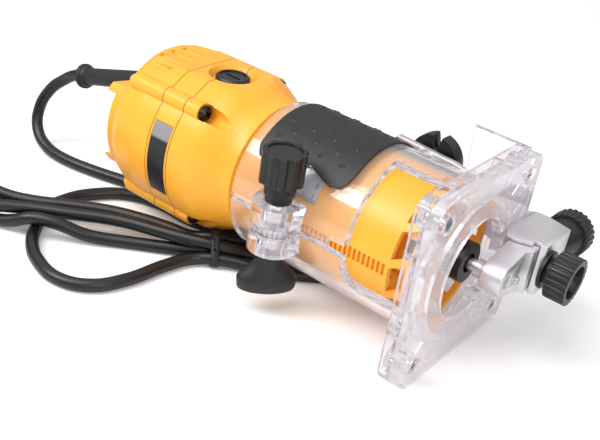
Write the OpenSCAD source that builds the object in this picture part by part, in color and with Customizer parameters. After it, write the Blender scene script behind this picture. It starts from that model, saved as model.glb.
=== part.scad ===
// Electric trim router lying on its side, in millimetres.
// The spindle axis is X and points out of the base. The origin is on that axis,
// at the outer face of the sub base. Z is up from the surface that it lies on.

/* [Base] */
// Side length of the square base plates
plate_w = 90; // [86:1:100]
// Corner radius of the base plates
plate_corner_r = 8; // [4:1:12]
// Thickness of the screwed-on sub base
sub_base_t = 5.5; // [4:0.5:7]
// Thickness of the flange moulded with the clear sleeve
flange_t = 6; // [5:0.5:8]
// Radius of the opening in the sub base
opening_r = 24; // [23:0.5:28]
// Distance of the sub base screws from the plate's centre lines
plate_screw_at = 35; // [33:0.5:37]
// Wall of the clear sleeve
sleeve_wall = 4.2; // [3:0.1:5]
// Length of the base, from the sub base's outer face to the sleeve's rear edge
base_len = 108.5; // [106:0.5:110]
// Distance of the clear far wall's ends inside the edges of the base plate
wall_inset = 1.5; // [1:0.5:7]
// Length of the far wall behind the sub base's outer face
wall_len = 35; // [30:1:40]
// Thickness of the far wall
wall_t = 3; // [2:0.5:4]

/* [Motor] */
// Radius of the motor barrel that slides in the sleeve
barrel_r = 32.5; // [32:0.1:33]
// Radial gap between the barrel and the sleeve
slide_gap = 0.3; // [0.2:0.05:0.5]
// Radius of the motor head
head_r = 41.5; // [40:0.5:43]
// Half height of the flats on the top and bottom of the head
head_flat = 38.3; // [38:0.1:39]
// Wall of the motor's plastic shells
shell_wall = 3; // [2.5:0.1:3.5]
// Distance from the sub base's outer face to the rear face of the head
head_rear = 190; // [186:1:196]
// Distance from the sub base's outer face to the barrel's front edge
barrel_front = 12.5; // [12:0.5:14]
// Radius of the four screw bosses along the head
boss_r = 4.8; // [4:0.2:5]
// Radius of the circle through the four screw bosses
boss_circle_r = 39.4; // [39:0.2:40]
// Radius of the brush caps
brush_cap_r = 8.5; // [7:0.5:9]
// Thickness of the rating label and of the depth scale
label_t = 0.25; // [0.2:0.05:0.3]

/* [Depth rack and clamp] */
// Pitch of the slots cut in the barrel as a rack
rack_pitch = 2.5; // [2.4:0.05:2.6]
// Number of slots in the rack
rack_slots = 27; // [25:1:27]
// Number of teeth on the pinion
pinion_teeth = 22; // [22:1:23]
// Distance from the sub base's outer face to the axis of the depth knob
knob_back = 78.5; // [76:0.5:80]
// Outer radius of the fluted depth knob
knob_r = 10; // [9:0.2:10]
// Height of the fluted part of the depth knob
knob_h = 15; // [10:1:18]
// Length of the clamp wing
wing_l = 28; // [22:1:28]
// Thickness of the clamp wing
wing_w = 15; // [12:1:16]
// Turn of the clamp wing from the spindle direction, in degrees
wing_turn = 50; // [0:5:90]

/* [Spindle and motor works] */
// Shank radius that the collet holds
shank_r = 3; // [2.5:0.1:3.2]
// Radius of the spindle between its bearings
spindle_r = 6; // [5.5:0.1:6]
// Radius of the rotor core
rotor_r = 17; // [15:0.5:18]
// Running gap between rotor and stator
air_gap = 0.6; // [0.4:0.1:1]
// Radial running clearance of turning shafts
run_gap = 0.05; // [0.03:0.01:0.08]

/* [Trim guide] */
// Radius of the guide roller
roller_r = 9.5; // [8:0.5:9.5]
// Thickness of the guide roller
roller_t = 6; // [4:0.5:6]
// Distance of the roller's axis beyond the spindle axis
roller_y = 3.2; // [3:0.1:3.5]
// Half height of the guide block
block_h = 12.5; // [11:0.5:14]
// Radius of the knurled guide knobs
guide_knob_r = 11.2; // [10:0.2:12]
// Distance from the sub base's outer face back to the guide's wing nut
guide_wing_back = 57; // [55:1:60]
// Height of the guide's wing nut above the spindle axis
guide_wing_up = 13; // [12:0.5:14]

/* [Cord] */
// Radius of the mains cord
cord_r = 3.2; // [3:0.1:3.2]
// Radius of the outermost turn of the cord's coil
coil_r = 42; // [40:1:48]
// Radial step of the cord's coil for each turn
coil_step = 7.4; // [7.2:0.1:7.6]

/* [Hidden] */
$fn = 96;
orange = [0.98, 0.66, 0.14];
black = [0.13, 0.13, 0.14];
clear = [0.85, 0.88, 0.92, 0.4];
steel = [0.72, 0.73, 0.75];
alloy = [0.76, 0.76, 0.74];
copper = [0.75, 0.42, 0.2];
brassy = [0.8, 0.65, 0.3];
silver = [0.82, 0.83, 0.84];
cut = 0.5;                       // how far a cutting solid runs past a face
floor_z = -plate_w / 2;          // surface that the router lies on
seat_gap = 0.1;                  // gap between seated pieces
groove_len = 15;                 // shallow grooves on the rear cover

// Base
flange_x = -sub_base_t - flange_t;
sleeve_r0 = barrel_r + slide_gap;
sleeve_r1 = sleeve_r0 + sleeve_wall;
pad_t = 1.2;
pad_r1 = sleeve_r1 + pad_t;
wall_y0 = plate_w / 2 - wall_t;
wall_h = plate_w / 2 - wall_inset;
window_back = 44.5;              // rear edge of the near window, from the origin
window_top = 80;                 // upper edge of the near window, in degrees
window_bottom = -26;
window_top_r = 27;               // round corners at the rear of the near window
window_bottom_r = 10.5;
split_z0 = -1.5;
split_z1 = 1;

// Motor
seam_mid = head_rear - 29.5;     // seam of rear cover and middle ring
seam_front = head_rear - 43.5;   // seam of middle ring and motor housing
neck_x = base_len + 4;           // where the barrel starts to flare
flare_len = 22;
screw_seat = seam_front - 8.5;   // faces of the bosses under the screw heads
screw_way_len = 14;              // way of the screwdriver, in front of the seat
screw_way_r = 3.2;
boss_at = boss_circle_r / sqrt(2);
barrel_in = barrel_r - shell_wall;
head_in = head_r - shell_wall;
cap_x = seam_front - 0.5;
vent_back = 11;                  // rear edge of the exhaust vents behind the barrel's front edge
vent_l = 8.5;
vent_h = 12.5;
vent_lean = 4.5;                 // how far each vent leans round the barrel over its length

// Rear cover, switch and brushes
rear_r = 40;
plateau_x = -head_rear - 4;      // face that the switch stands in
ear_x = -head_rear - 10;         // face of the cord's ear
switch_y = 8;
switch_z = -4;
switch_w = 12.6;
switch_h = 21;
rocker_x = plateau_x + 4;
rocker_half = 8.6;
rocker_tilt = 10;
brush_a = 6;
brush_b = 8;

// Depth scale on the barrel: its ends behind the origin and its angles
scale_x0 = 84;
scale_x1 = 66;
scale_a0 = 22;
scale_a1 = 47;

// Rating label on the middle ring
label_x0 = seam_mid - 1.6;
label_x1 = seam_front + 1.6;
label_a0 = -25;
label_a1 = 27;

// Rack and pinion
pitch_r = pinion_teeth * rack_pitch / 360 * 180 / PI;
tooth_h = 1;
tooth_root = 0.4;
knob_y = -(barrel_r + pitch_r);
ear_r = pitch_r + tooth_h + 1.6;
ear_top = 12.5;
ear_bottom = -11;
pinion_w = 4.8;
rack_slot_w = 1.5;
rack_slot_h = 5.6;
rack_slot_d = 1.4;
rack_rear_slots = 5;             // slots behind the pinion's axis
pinion_hub_r = 4.5;
wing_top = ear_bottom - 1.6;
wing_band = floor_z + 12.2;      // lowest edge of the clamp wing

// Spindle
bearing_front_x = -27;           // front face of the front bearing
bearing_front_t = 8;
bearing_front_r = 14;
bearing_rear_x = -seam_front - 10.5;
bearing_rear_t = 7;
bearing_rear_r = 11;
tail_r = 4;
nut_x = -14;                     // front face of the collet nut
nut_t = 12.5;
nut_flat = 17;
collet_r = 4.8;
rotor_front = -76;
rotor_back = -122;
commutator_r = 12;
stator_r0 = rotor_r + air_gap;
fan_x = -62;                     // front face of the fan's disc
fan_len = 16;
fan_hub_r = 9;
blade_l = 12;
blade_h = 15;

// Guide
guide_x = 0.6;                   // rear face of the guide block
block_x1 = 21;
block_y0 = 18.5;
block_y1 = 50.5;
chan_x0 = 4.7;
chan_x1 = 18;
chan_h = 11;
chan_y1 = 46.3;
fit_gap = 0.3;                   // gap of the guide's sliding faces
arm_end_r = 7.5;
arm_tail_y = 36;
clamp_y = 27.5;
adjust_x = 14.5;
adjust_tip = 29;
screw_r = 2.5;
roller_pin_r = 3;
roller_x0 = -10;                 // front face of the guide roller
leg_y0 = plate_w / 2 + 0.4;
leg_t = 3.5;
leg_y1 = leg_y0 + leg_t;

// Cord
cord_z = floor_z + cord_r;
layer_z = cord_z + 2 * cord_r + 0.5;
guard_from = [-head_rear, -8, 20.2];
guard_to = [-head_rear - 54.2, -8, 3.9];
guard_r = 4.65;
tie_lift = 1;
tie_z = cord_z + tie_lift;
tie_top_z = tie_z + 5.3;
tie_at = [-123, -27];
tie_dir = [-0.72, -0.694];
tie_side = [-0.694, 0.72];
tie_lane = 8;
tie_w = 7;
bight_at = [-91, 29.5];          // centre of the folds hidden under the sleeve
bight_dir = [0.5, 0.866];
bight_side = [-0.866, 0.5];
coil_at = [-276, -113];
plug_turn = -58;                 // the plug lies on the coil, turned so about Z
plug_start = [-255.6, -100.3, -21.4];
coil_from = 323;                 // the cord comes to the coil at this angle
coil_in = 750;                   // turned in each layer
coil_climb = 195;                // turned while it climbs from the lower to the upper layer
coil_turn = 2 * coil_in + coil_climb;
coil_a = 15;
plug_len = 38;
plug_h = 20;
plug_pin_r = 2.4;

// Shapes along the spindle axis
module along_x(x) translate([x, 0, 0]) rotate([0, 90, 0]) children();
module x_disc(x0, x1, r) along_x(x0) cylinder(h = x1 - x0, r = r);
module x_ring(x0, x1, r0, r1) difference() {
  x_disc(x0, x1, r1);
  x_disc(x0 - cut, x1 + cut, r0);
}
// turns a shape that lies along -Y up to an angle about the spindle axis
module at_angle(a) rotate([-a, 0, 0]) children();
// a wedge of space between two such angles, less than 180 degrees apart
module sector(x0, x1, a0, a1, r) translate([x0, 0, 0]) rotate([90, 0, 90])
  linear_extrude(x1 - x0)
    polygon([[0, 0], for (i = [0:6]) let (a = a0 + (a1 - a0) * i / 6) [-r * cos(a), r * sin(a)]]);
// a ring sector of a given thickness
module shell_sector(x0, x1, a0, a1, r0, r1) intersection() {
  x_ring(x0, x1, r0, r1);
  sector(x0 - 1, x1 + 1, a0, a1, r1 * 1.3);
}
module at_bosses() for (y = [-1, 1], z = [-1, 1]) translate([0, y * boss_at, z * boss_at]) children();

// Outer radius of the motor housing at a distance behind the origin
function flare(x) = let (t = min(1, max(0, (x - neck_x - 2) / flare_len)))
  x < neck_x ? barrel_r : barrel_r + 1.5 + (head_r - barrel_r - 1.5) * (1 - cos(180 * t)) / 2;

// space between flats at half height h, along the whole motor
module flats(h) translate([-head_rear - 20, -head_r - 10, -h]) cube([head_rear + 20, 2 * head_r + 20, 2 * h]);
// outer form of the motor housing, or with a wall taken off, its hollow
module barrel_form(wall) {
  steps = [for (i = [0:12]) neck_x + (seam_front - neck_x) * i / 12];
  past = wall > 0 ? cut : 0;
  intersection() {
    along_x(0) rotate_extrude() polygon(concat([[0, -barrel_front + past], [barrel_r - wall, -barrel_front + past],
      [barrel_r - wall, -neck_x + 0.8]], [for (x = steps) [flare(x) - wall, -x - (x == seam_front ? past : 0)]],
      [[0, -seam_front - past]]));
    flats(head_flat - wall);
  }
}
module motor_housing() color(orange) {
  difference() {
    union() {
      difference() {
        barrel_form(0);
        barrel_form(shell_wall);
      }
      difference() {
        at_bosses() x_disc(-seam_front, -screw_seat, boss_r);
        x_disc(-seam_front - cut, -screw_seat + cut, head_in - 1);
      }
      intersection() {
        at_bosses() x_disc(-screw_seat - 1, -screw_seat + screw_way_len + 1.5, boss_r + 1.6);
        barrel_form(0);
      }
      front_web();
      brush_seats(-seam_front, 0);
    }
    for (s = [0, 180]) rotate([s, 0, 0]) brush_way();
    at_bosses() {
      x_disc(-seam_front - cut, -screw_seat + 1, 1.9);
      x_disc(-screw_seat, -screw_seat + 4, boss_r);
      along_x(-screw_seat + 4) cylinder(h = screw_way_len - 4, r1 = boss_r - 0.4, r2 = screw_way_r);
    }
    rack_cuts();
    exhaust_cuts();
    shell_sector(-scale_x0 - 0.3, -scale_x1 + 0.3, scale_a0 - 0.4, scale_a1 + 0.4,
      barrel_r - label_t - 0.05, barrel_r + 1);
  }
}
// web that holds the front bearing, open between its spokes for the cooling air
module front_web() difference() {
  union() {
    x_disc(bearing_front_x - bearing_front_t - 4, bearing_front_x + 1, bearing_front_r + 3);
    x_disc(bearing_front_x - bearing_front_t - 4, bearing_front_x - bearing_front_t, barrel_in + 1);
  }
  x_disc(bearing_front_x - bearing_front_t, bearing_front_x + 2, bearing_front_r + seat_gap);
  x_disc(bearing_front_x - bearing_front_t - 5, bearing_front_x, bearing_front_r - 4);
  for (a = [0:60:300]) at_angle(a) translate([bearing_front_x - bearing_front_t - 5, -barrel_in + 1, -5])
    cube([6, 9, 10]);
}
// thick rings inside the shell that hold the brush caps
module brush_seats(x0, x1) intersection() {
  for (s = [0, 180]) rotate([s, 0, 0]) translate([-cap_x, 0, head_flat - 9])
    cylinder(h = 8.5, r = brush_cap_r + 2.2);
  x_disc(x0, x1, head_r);
}
// radial hole, recess and socket for a brush cap
module brush_way() translate([-cap_x, 0, 0]) {
  cylinder(h = head_r + 5, r = brush_cap_r - 1.2 + seat_gap);
  translate([0, 0, head_flat - 3.2]) cylinder(h = 10, r1 = brush_cap_r + 1.6, r2 = brush_cap_r + 8);
}
module rack_cuts() for (i = [0:rack_slots - 1])
  translate([-knob_back + (i - rack_rear_slots) * rack_pitch - rack_slot_w / 2,
    -barrel_r - 1, -rack_slot_h / 2])
    cube([rack_slot_w, 1 + rack_slot_d, rack_slot_h]);
module exhaust_cuts() for (a = [-8:30:322]) at_angle(a)
  translate([-barrel_front - vent_back, -barrel_in + cut, 0]) rotate([90, 0, 0])
    linear_extrude(shell_wall + 1) polygon([[0, -vent_h / 2], [vent_l, -vent_h / 2 + vent_lean],
      [vent_l, vent_h / 2 + vent_lean], [0, vent_h / 2]]);

module mid_ring() color(orange) difference() {
  union() {
    difference() {
      intersection() {
        x_disc(-seam_mid, -seam_front, head_r);
        flats(head_flat);
      }
      intersection() {
        x_disc(-seam_mid - cut, -seam_front + cut, head_in);
        flats(head_flat - shell_wall);
      }
    }
    difference() {
      at_bosses() x_disc(-seam_mid, -seam_front, boss_r);
      x_disc(-seam_mid - cut, -seam_front + cut, head_in - 1);
    }
    intersection() {
      x_disc(-seam_mid, -seam_mid + 3.5, head_in + 1);
      flats(head_flat - 1);
    }
    x_disc(bearing_rear_x - bearing_rear_t, -seam_mid + 3.5, bearing_rear_r + 3);
    brush_seats(-seam_mid, -seam_front);
  }
  for (s = [0, 180]) rotate([s, 0, 0]) brush_way();
  at_bosses() x_disc(-seam_mid - cut, 0, 1.9);
  x_disc(bearing_rear_x - bearing_rear_t - cut, bearing_rear_x, bearing_rear_r + seat_gap);
  x_disc(bearing_rear_x - cut, -seam_mid + 5, bearing_rear_r - 3);
  for (a = [0:45:315]) at_angle(a) translate([-seam_mid - 1, -head_in + 7, -4]) cube([6, 10, 8]);
  shell_sector(-label_x0 - 0.3, -label_x1 + 0.3, label_a0 - 0.3, label_a1 + 0.3,
    head_r - label_t - 0.05, head_r + 2);
}

// outer form of the rear cover, or with a wall taken off, its hollow
module cover_form(wall) intersection() {
  past = wall > 0 ? cut : 0;
  along_x(0) rotate_extrude() polygon([[0, -seam_mid + past], [head_r - wall, -seam_mid + past],
    [head_r - wall, -seam_mid - 12], [rear_r + 0.4 - wall, -head_rear + 7 + wall],
    [rear_r - 1.2 - wall, -head_rear + 3 + wall], [rear_r - 4.5 - wall, -head_rear + wall], [0, -head_rear + wall]]);
  flats(head_flat - wall);
}
// raised middle of the rear face, with a pair of guard ridges above and below the switch
module rear_pad() intersection() {
  union() {
    translate([plateau_x, -head_r, -21]) cube([5, 2 * head_r, 42]);
    for (y = [-1, 1], z = [-1, 1]) at_side(y, z) translate([0, 0, 17.6]) linear_extrude(4)
      polygon([[-head_rear + 1, -rear_r], [ear_x + 1, -rear_r], [ear_x, -31], [plateau_x, -15], [-head_rear + 1, -15]]);
  }
  x_disc(ear_x - 1, -head_rear + 1, rear_r - 4.3);
}
module at_side(y, z) mirror([0, y > 0 ? 1 : 0, 0]) mirror([0, 0, z > 0 ? 0 : 1]) children();
module rear_cover() color(orange) difference() {
  union() {
    difference() {
      cover_form(0);
      cover_form(shell_wall);
    }
    difference() {
      at_bosses() {
        x_disc(-head_rear + 8, -seam_mid, boss_r);
        along_x(-head_rear + 4.6) cylinder(h = 3.5, r1 = boss_r - 2.2, r2 = boss_r);
      }
      x_disc(-head_rear, -seam_mid + cut, head_in - 4);
    }
    rear_pad();
    guard_line() cylinder(h = 9, r = guard_r + 2.5, center = true);
  }
  at_bosses() x_disc(-head_rear + 10, -seam_mid + cut, 1.5);
  for (a = [61.5, 73, 84.5, 96]) at_angle(a) translate([-head_rear + 13.5, 0, 0]) groove(a);
  translate([plateau_x - 1, switch_y - switch_w / 2 - seat_gap, switch_z - switch_h / 2 - seat_gap])
    cube([12, switch_w + 2 * seat_gap, switch_h + 2 * seat_gap]);
  guard_line() cylinder(h = 40, r = guard_r + seat_gap, center = true);
}
// groove along the outside of the rear cover, deeper than the flat or the round that it crosses
module groove(a) translate([0, -min(head_r, head_flat / sin(a)), 0]) rotate([0, 90, 0])
  cylinder(h = groove_len, r = 1.7, center = true);
// axis of the cord guard, its Z running out of the head
module guard_line() translate(guard_from)
  rotate([0, -90 - atan2(guard_from[2] - guard_to[2], guard_from[0] - guard_to[0]), 0]) children();

module housing_screws() color(black) at_bosses() difference() {
  union() {
    x_disc(-screw_seat + 0.05, -screw_seat + 1.6, 3.8);
    along_x(-screw_seat + 1.6) cylinder(h = 1.2, r1 = 3.8, r2 = 2.4);
    x_disc(-head_rear + 12, -screw_seat + 0.1, 1.45);
  }
  for (t = [0, 90]) rotate([t + 20, 0, 0]) translate([-screw_seat + 1.5, -2.1, -0.45]) cube([3, 4.2, 0.9]);
}

module brush_caps() color(black) for (s = [0, 180]) rotate([s, 0, 0])
  translate([-cap_x, 0, 0]) difference() {
    union() {
      translate([0, 0, head_flat - 3.2]) cylinder(h = 1.85, r = brush_cap_r);
      translate([0, 0, head_flat - 1.4]) cylinder(h = 0.8, r1 = brush_cap_r, r2 = brush_cap_r - 0.8);
      translate([0, 0, head_flat - 9]) cylinder(h = 5.9, r = brush_cap_r - 1.2);
    }
    translate([0, 0, head_flat - 1.2]) cylinder(h = 3, r = brush_cap_r - 1.8);
    translate([-4.5, -0.8, head_flat - 2.6]) cube([9, 1.6, 4]);
  }
module brush_holders() color(brassy) for (s = [0, 180]) rotate([s, 0, 0])
  translate([-cap_x, 0, 0]) difference() {
    translate([0, 0, commutator_r + 3]) cylinder(h = head_flat - 9.1 - commutator_r - 3, r = 6.4);
    translate([-brush_a / 2 - seat_gap, -brush_b / 2 - seat_gap, commutator_r])
      cube([brush_a + 2 * seat_gap, brush_b + 2 * seat_gap, head_flat]);
  }
module carbon_brushes() color([0.2, 0.2, 0.2]) for (s = [0, 180]) rotate([s, 0, 0])
  translate([-cap_x - brush_a / 2, -brush_b / 2, commutator_r + 0.2]) cube([brush_a, brush_b, 9]);
module brush_springs() color(steel) for (s = [0, 180]) rotate([s, 0, 0])
  translate([-cap_x, 0, commutator_r + 9.3]) difference() {
    cylinder(h = head_flat - 9.1 - commutator_r - 9.3, r = 2.6);
    translate([0, 0, -cut]) cylinder(h = 20, r = 2);
  }

module rating_label() color(black)
  shell_sector(-label_x0, -label_x1, label_a0, label_a1, head_r - label_t, head_r);
module depth_scale() color(silver)
  shell_sector(-scale_x0, -scale_x1, scale_a0, scale_a1, barrel_r - label_t, barrel_r);

module switch_body() color(black) translate([0, switch_y, switch_z]) difference() {
  union() {
    translate([plateau_x - 1.5, -switch_w / 2 - 1.4, -switch_h / 2 - 1.6])
      cube([1.4, switch_w + 2.8, switch_h + 3.2]);
    translate([plateau_x - 0.2, -switch_w / 2, -switch_h / 2]) cube([21, switch_w, switch_h]);
  }
  translate([plateau_x - 2, -switch_w / 2 + 1.2, -rocker_half - 1.1])
    cube([12, switch_w - 2.4, 2 * rocker_half + 2.2]);
  translate([rocker_x, 0, 0]) rotate([90, 0, 0]) cylinder(h = switch_w - 0.6, r = 1.25, center = true);
}
module switch_rocker() color(black) translate([rocker_x, switch_y, switch_z]) {
  rotate([0, rocker_tilt, 0]) rotate([90, 0, 0]) linear_extrude(switch_w - 2.8, center = true)
    polygon([[4.4, -rocker_half + 2], [4.4, rocker_half - 2], [1, rocker_half], [-5.4, rocker_half],
      [-4, 0], [-5.4, -rocker_half], [1, -rocker_half]]);
  rotate([90, 0, 0]) cylinder(h = switch_w - 1, r = 1.25 - run_gap, center = true);
}

module front_bearing() color(steel)
  x_ring(bearing_front_x - bearing_front_t, bearing_front_x, spindle_r + run_gap, bearing_front_r);
module rear_bearing() color(steel)
  x_ring(bearing_rear_x - bearing_rear_t, bearing_rear_x, tail_r + run_gap, bearing_rear_r);
module stator_core() color([0.5, 0.5, 0.52]) difference() {
  x_ring(rotor_back, rotor_front, stator_r0, barrel_in - seat_gap);
  for (a = [-40, 40, 140, 220]) at_angle(a) translate([rotor_back - 1, -25, -3]) cube([60, 25 - stator_r0 + 3, 6]);
}
module stator_coils() color(copper) {
  for (a = [-40, 40, 140, 220]) at_angle(a) translate([rotor_back - 5, -24.8, -2.8])
    cube([rotor_front - rotor_back + 10, 24.8 - stator_r0 - 0.6, 5.6]);
  for (x = [rotor_back - 6, rotor_front + 0.6], a = [-46, 134])
    shell_sector(x, x + 5.4, a, a + 92, stator_r0 + 0.6, 25);
}

module spindle() color(steel) difference() {
  union() {
    x_disc(bearing_rear_x - bearing_rear_t - 1, bearing_rear_x + 1, tail_r);
    x_disc(bearing_rear_x + 0.3, nut_x - 2, spindle_r);
  }
  along_x(-31.2) cylinder(h = 15.3, r1 = 3.75, r2 = collet_r + 0.05);
  x_disc(-46, -31, shank_r + 0.3);
}
module rotor_core() color([0.45, 0.45, 0.47]) difference() {
  x_ring(rotor_back, rotor_front, spindle_r, rotor_r);
  for (a = [0:30:330]) at_angle(a) translate([rotor_back - 1, -rotor_r - 1, -0.9]) cube([60, 7, 1.8]);
}
module rotor_windings() color(copper) {
  x_ring(rotor_back - 7, rotor_back - seat_gap, spindle_r + seat_gap, 14.5);
  x_ring(rotor_front + seat_gap, rotor_front + 6, spindle_r + seat_gap, 14.5);
}
module commutator() color(copper) difference() {
  x_ring(-cap_x - 6, rotor_back - 7.2, spindle_r, commutator_r);
  for (a = [0:20:340]) at_angle(a) translate([-cap_x - 7, -commutator_r - 1, -0.25]) cube([30, 2.2, 0.5]);
}
module fan() color(black) {
  x_ring(fan_x, fan_x + 2, spindle_r, barrel_in - 2.6);
  x_ring(fan_x, fan_x + fan_len, spindle_r, fan_hub_r);
  for (a = [0:30:330]) at_angle(a) translate([fan_x + 1.8, -barrel_in + 2.8, -0.7])
    cube([blade_l, blade_h, 1.4]);
}
module collet() color(steel) difference() {
  union() {
    along_x(-31) cylinder(h = 15, r1 = 3.7, r2 = collet_r);
    x_disc(-16.05, nut_x - 0.3, collet_r - 0.4);
  }
  x_disc(-32, nut_x + 1, shank_r);
  for (a = [0, 120, 240]) at_angle(a) translate([-26, -collet_r - 1, -0.3]) cube([14, collet_r, 0.6]);
}
module collet_nut() color(steel) difference() {
  intersection() {
    along_x(nut_x - nut_t) rotate(30) cylinder(h = nut_t, d = nut_flat / cos(30), $fn = 6);
    along_x(nut_x - nut_t) cylinder(h = nut_t, r1 = 10.4, r2 = 8.9);
  }
  x_disc(nut_x - nut_t - 1, nut_x - 1.9, spindle_r + run_gap);
  x_disc(nut_x - 2, nut_x + 1, collet_r - 0.4 + run_gap);
}

// square plate with round corners, its front face at x
module plate(x, t) translate([x - t, 0, 0]) rotate([90, 0, 90]) linear_extrude(t) difference() {
  square(plate_w, center = true);
  for (a = [0:90:270]) rotate(a) translate([plate_w / 2, plate_w / 2]) difference() {
    square(2 * plate_corner_r, center = true);
    translate([-plate_corner_r, -plate_corner_r]) circle(r = plate_corner_r);
  }
}
module at_plate_screws() for (y = [-1, 1], z = [-1, 1])
  translate([0, y * plate_screw_at, z * plate_screw_at]) children();
// pockets between the flange's ribs
module flange_pockets() translate([flange_x - cut, 0, 0]) rotate([90, 0, 90])
  linear_extrude(flange_t - 2.5 + cut) difference() {
    square(plate_w - 6, center = true);
    circle(r = sleeve_r1 + 1.2);
    for (a = [45, 135]) rotate(a) square([2.4, 2 * plate_w], center = true);
    for (a = [0:90:270]) rotate(a) translate([plate_screw_at, plate_screw_at]) circle(r = 5.5);
    for (a = [0:90:270]) rotate(a) for (s = [-1, 1]) translate([s * 18, 40]) rotate(-s * 24)
      square([2, 24], center = true);
  }
module clear_base() color(clear) difference() {
  union() {
    difference() {
      union() {
        plate(-sub_base_t, flange_t);
        x_disc(-base_len, flange_x + 1, sleeve_r1);
      }
      flange_pockets();
    }
    ears();
    guide_boss();
    far_wall();
  }
  x_disc(-base_len - cut, 0, sleeve_r0);
  at_plate_screws() x_disc(-sub_base_t - 5, 1, 1.9);
  near_window();
  split();
  ear_bores();
  translate([0, 0, guide_wing_up]) translate([-guide_wing_back, 0, 0]) rotate([-90, 0, 0]) {
    cylinder(h = 60, r = screw_r + 0.15);
  }
  translate([-guide_wing_back - 4.2, 36.4, guide_wing_up - 4.9]) cube([8.4, 3.8, 20]);
}
// arched window in the near side of the sleeve
module near_window() difference() {
  intersection() {
    sector(-window_back, flange_x, window_bottom, window_top, 60);
    x_ring(-window_back, flange_x, sleeve_r0 - 1, sleeve_r1 + 10);
  }
  window_corner(window_top, 1, window_top_r);
  window_corner(window_bottom, -1, window_bottom_r);
}
// material left at one of the window's rear corners, drawn on the plane that touches the sleeve there
module window_corner(a, s, r) at_angle(a - s * asin(r / sleeve_r1)) translate([-window_back + r, 0, 0])
  rotate([90, 0, 0]) linear_extrude(60) difference() {
    translate([-r - 1.5, s > 0 ? 0 : -r - 1.5]) square(r + 1.5);
    circle(r = r);
  }
module split() {
  translate([-base_len - 1, -60, split_z0]) cube([base_len - window_back + 2, 60 - sleeve_r0 + 2, split_z1 - split_z0]);
  translate([-window_back - 9, -sleeve_r1 - 1, -2]) cube([10, sleeve_wall + 2, 6]);
}
module ears() translate([-knob_back, 0, 0]) difference() {
  union() {
    translate([0, knob_y, ear_bottom]) cylinder(h = ear_top - ear_bottom, r = ear_r);
    translate([-ear_r, knob_y, ear_bottom]) cube([2 * ear_r, -knob_y - sleeve_r0 + 3, ear_top - ear_bottom]);
  }
}
module ear_bores() translate([-knob_back, knob_y, 0]) {
  cylinder(h = 60, r = pinion_hub_r + run_gap, center = true);
  cylinder(h = pinion_w + 0.8, r = pitch_r + tooth_h + 0.45, center = true);
}
// boss on the far side that the guide is bolted to
module guide_boss() translate([-guide_wing_back, sleeve_r0 - 4, guide_wing_up]) rotate([-90, 0, 0])
  cylinder(h = leg_y0 - fit_gap - sleeve_r0 + 4, r = 8);
module far_wall() difference() {
  translate([0, wall_y0, 0]) rotate([-90, 0, 0]) linear_extrude(wall_t)
    polygon([[-sub_base_t - 1, -wall_h], [-wall_len, -wall_h], [-wall_len + 4, wall_h - 4], [-sub_base_t - 1, wall_h - 4]]);
  for (x = [-26, -16]) translate([x, wall_y0 - 1, -22]) rotate([-90, 0, 0]) cylinder(h = wall_t + 2, r = 2.2);
}

module sub_base() color(clear) difference() {
  plate(0, sub_base_t - 0.05);
  x_disc(-sub_base_t - 1, 1, opening_r);
  along_x(-1) cylinder(h = 1.5, r1 = opening_r, r2 = opening_r + 1.5);
  at_plate_screws() {
    x_disc(-sub_base_t - 1, 1, 2.2);
    x_disc(-2.6, 1, 4.4);
  }
}
module sub_base_screws() color([0.3, 0.3, 0.32]) at_plate_screws() difference() {
  union() {
    x_disc(-2.55, -1.2, 3.6);
    along_x(-1.2) cylinder(h = 0.8, r1 = 3.6, r2 = 2.6);
    x_disc(-sub_base_t - 4.5, -2.5, 1.75);
  }
  for (t = [0, 90]) rotate([t, 0, 0]) translate([-1.4, -2, -0.4]) cube([3, 4, 0.8]);
}

// rubber pad over the sleeve, its outline seen from the side
module pad_shape() {
  difference() {
    x_ring(-103, -53, sleeve_r1 + 0.02, pad_r1);
    translate([0, -60, 0]) rotate([-90, 0, 0]) linear_extrude(120)
      polygon([[-110, 50], [-40, 50], [-40, -30], [-53, -30], [-54, -26.7], [-56, -24.3], [-61, -23.3],
        [-65, -24.3], [-70, -25.8], [-75, -27.2], [-79, -27.2], [-84, -25], [-89, -22.5], [-96, -21.7],
        [-100.5, -22.5], [-103, -26], [-110, -26]]);
  }
}
pad_rows = [[54, -97], [62.5, -91.5], [71, -97], [79, -92], [87.5, -97], [96, -92], [104.5, -97], [113, -92],
  [121.5, -97], [130, -91.5]];
module pad_dots() for (row = pad_rows, i = [0:3]) if (row[1] + 12 * i < -58)
  at_angle(row[0]) translate([row[1] + 12 * i, -pad_r1 + 0.1, 0]) rotate([90, 0, 0]) cylinder(h = 0.6, r1 = 1.1, r2 = 0.7);
module grip_pad() color(black) {
  pad_shape();
  pad_dots();
}

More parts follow.
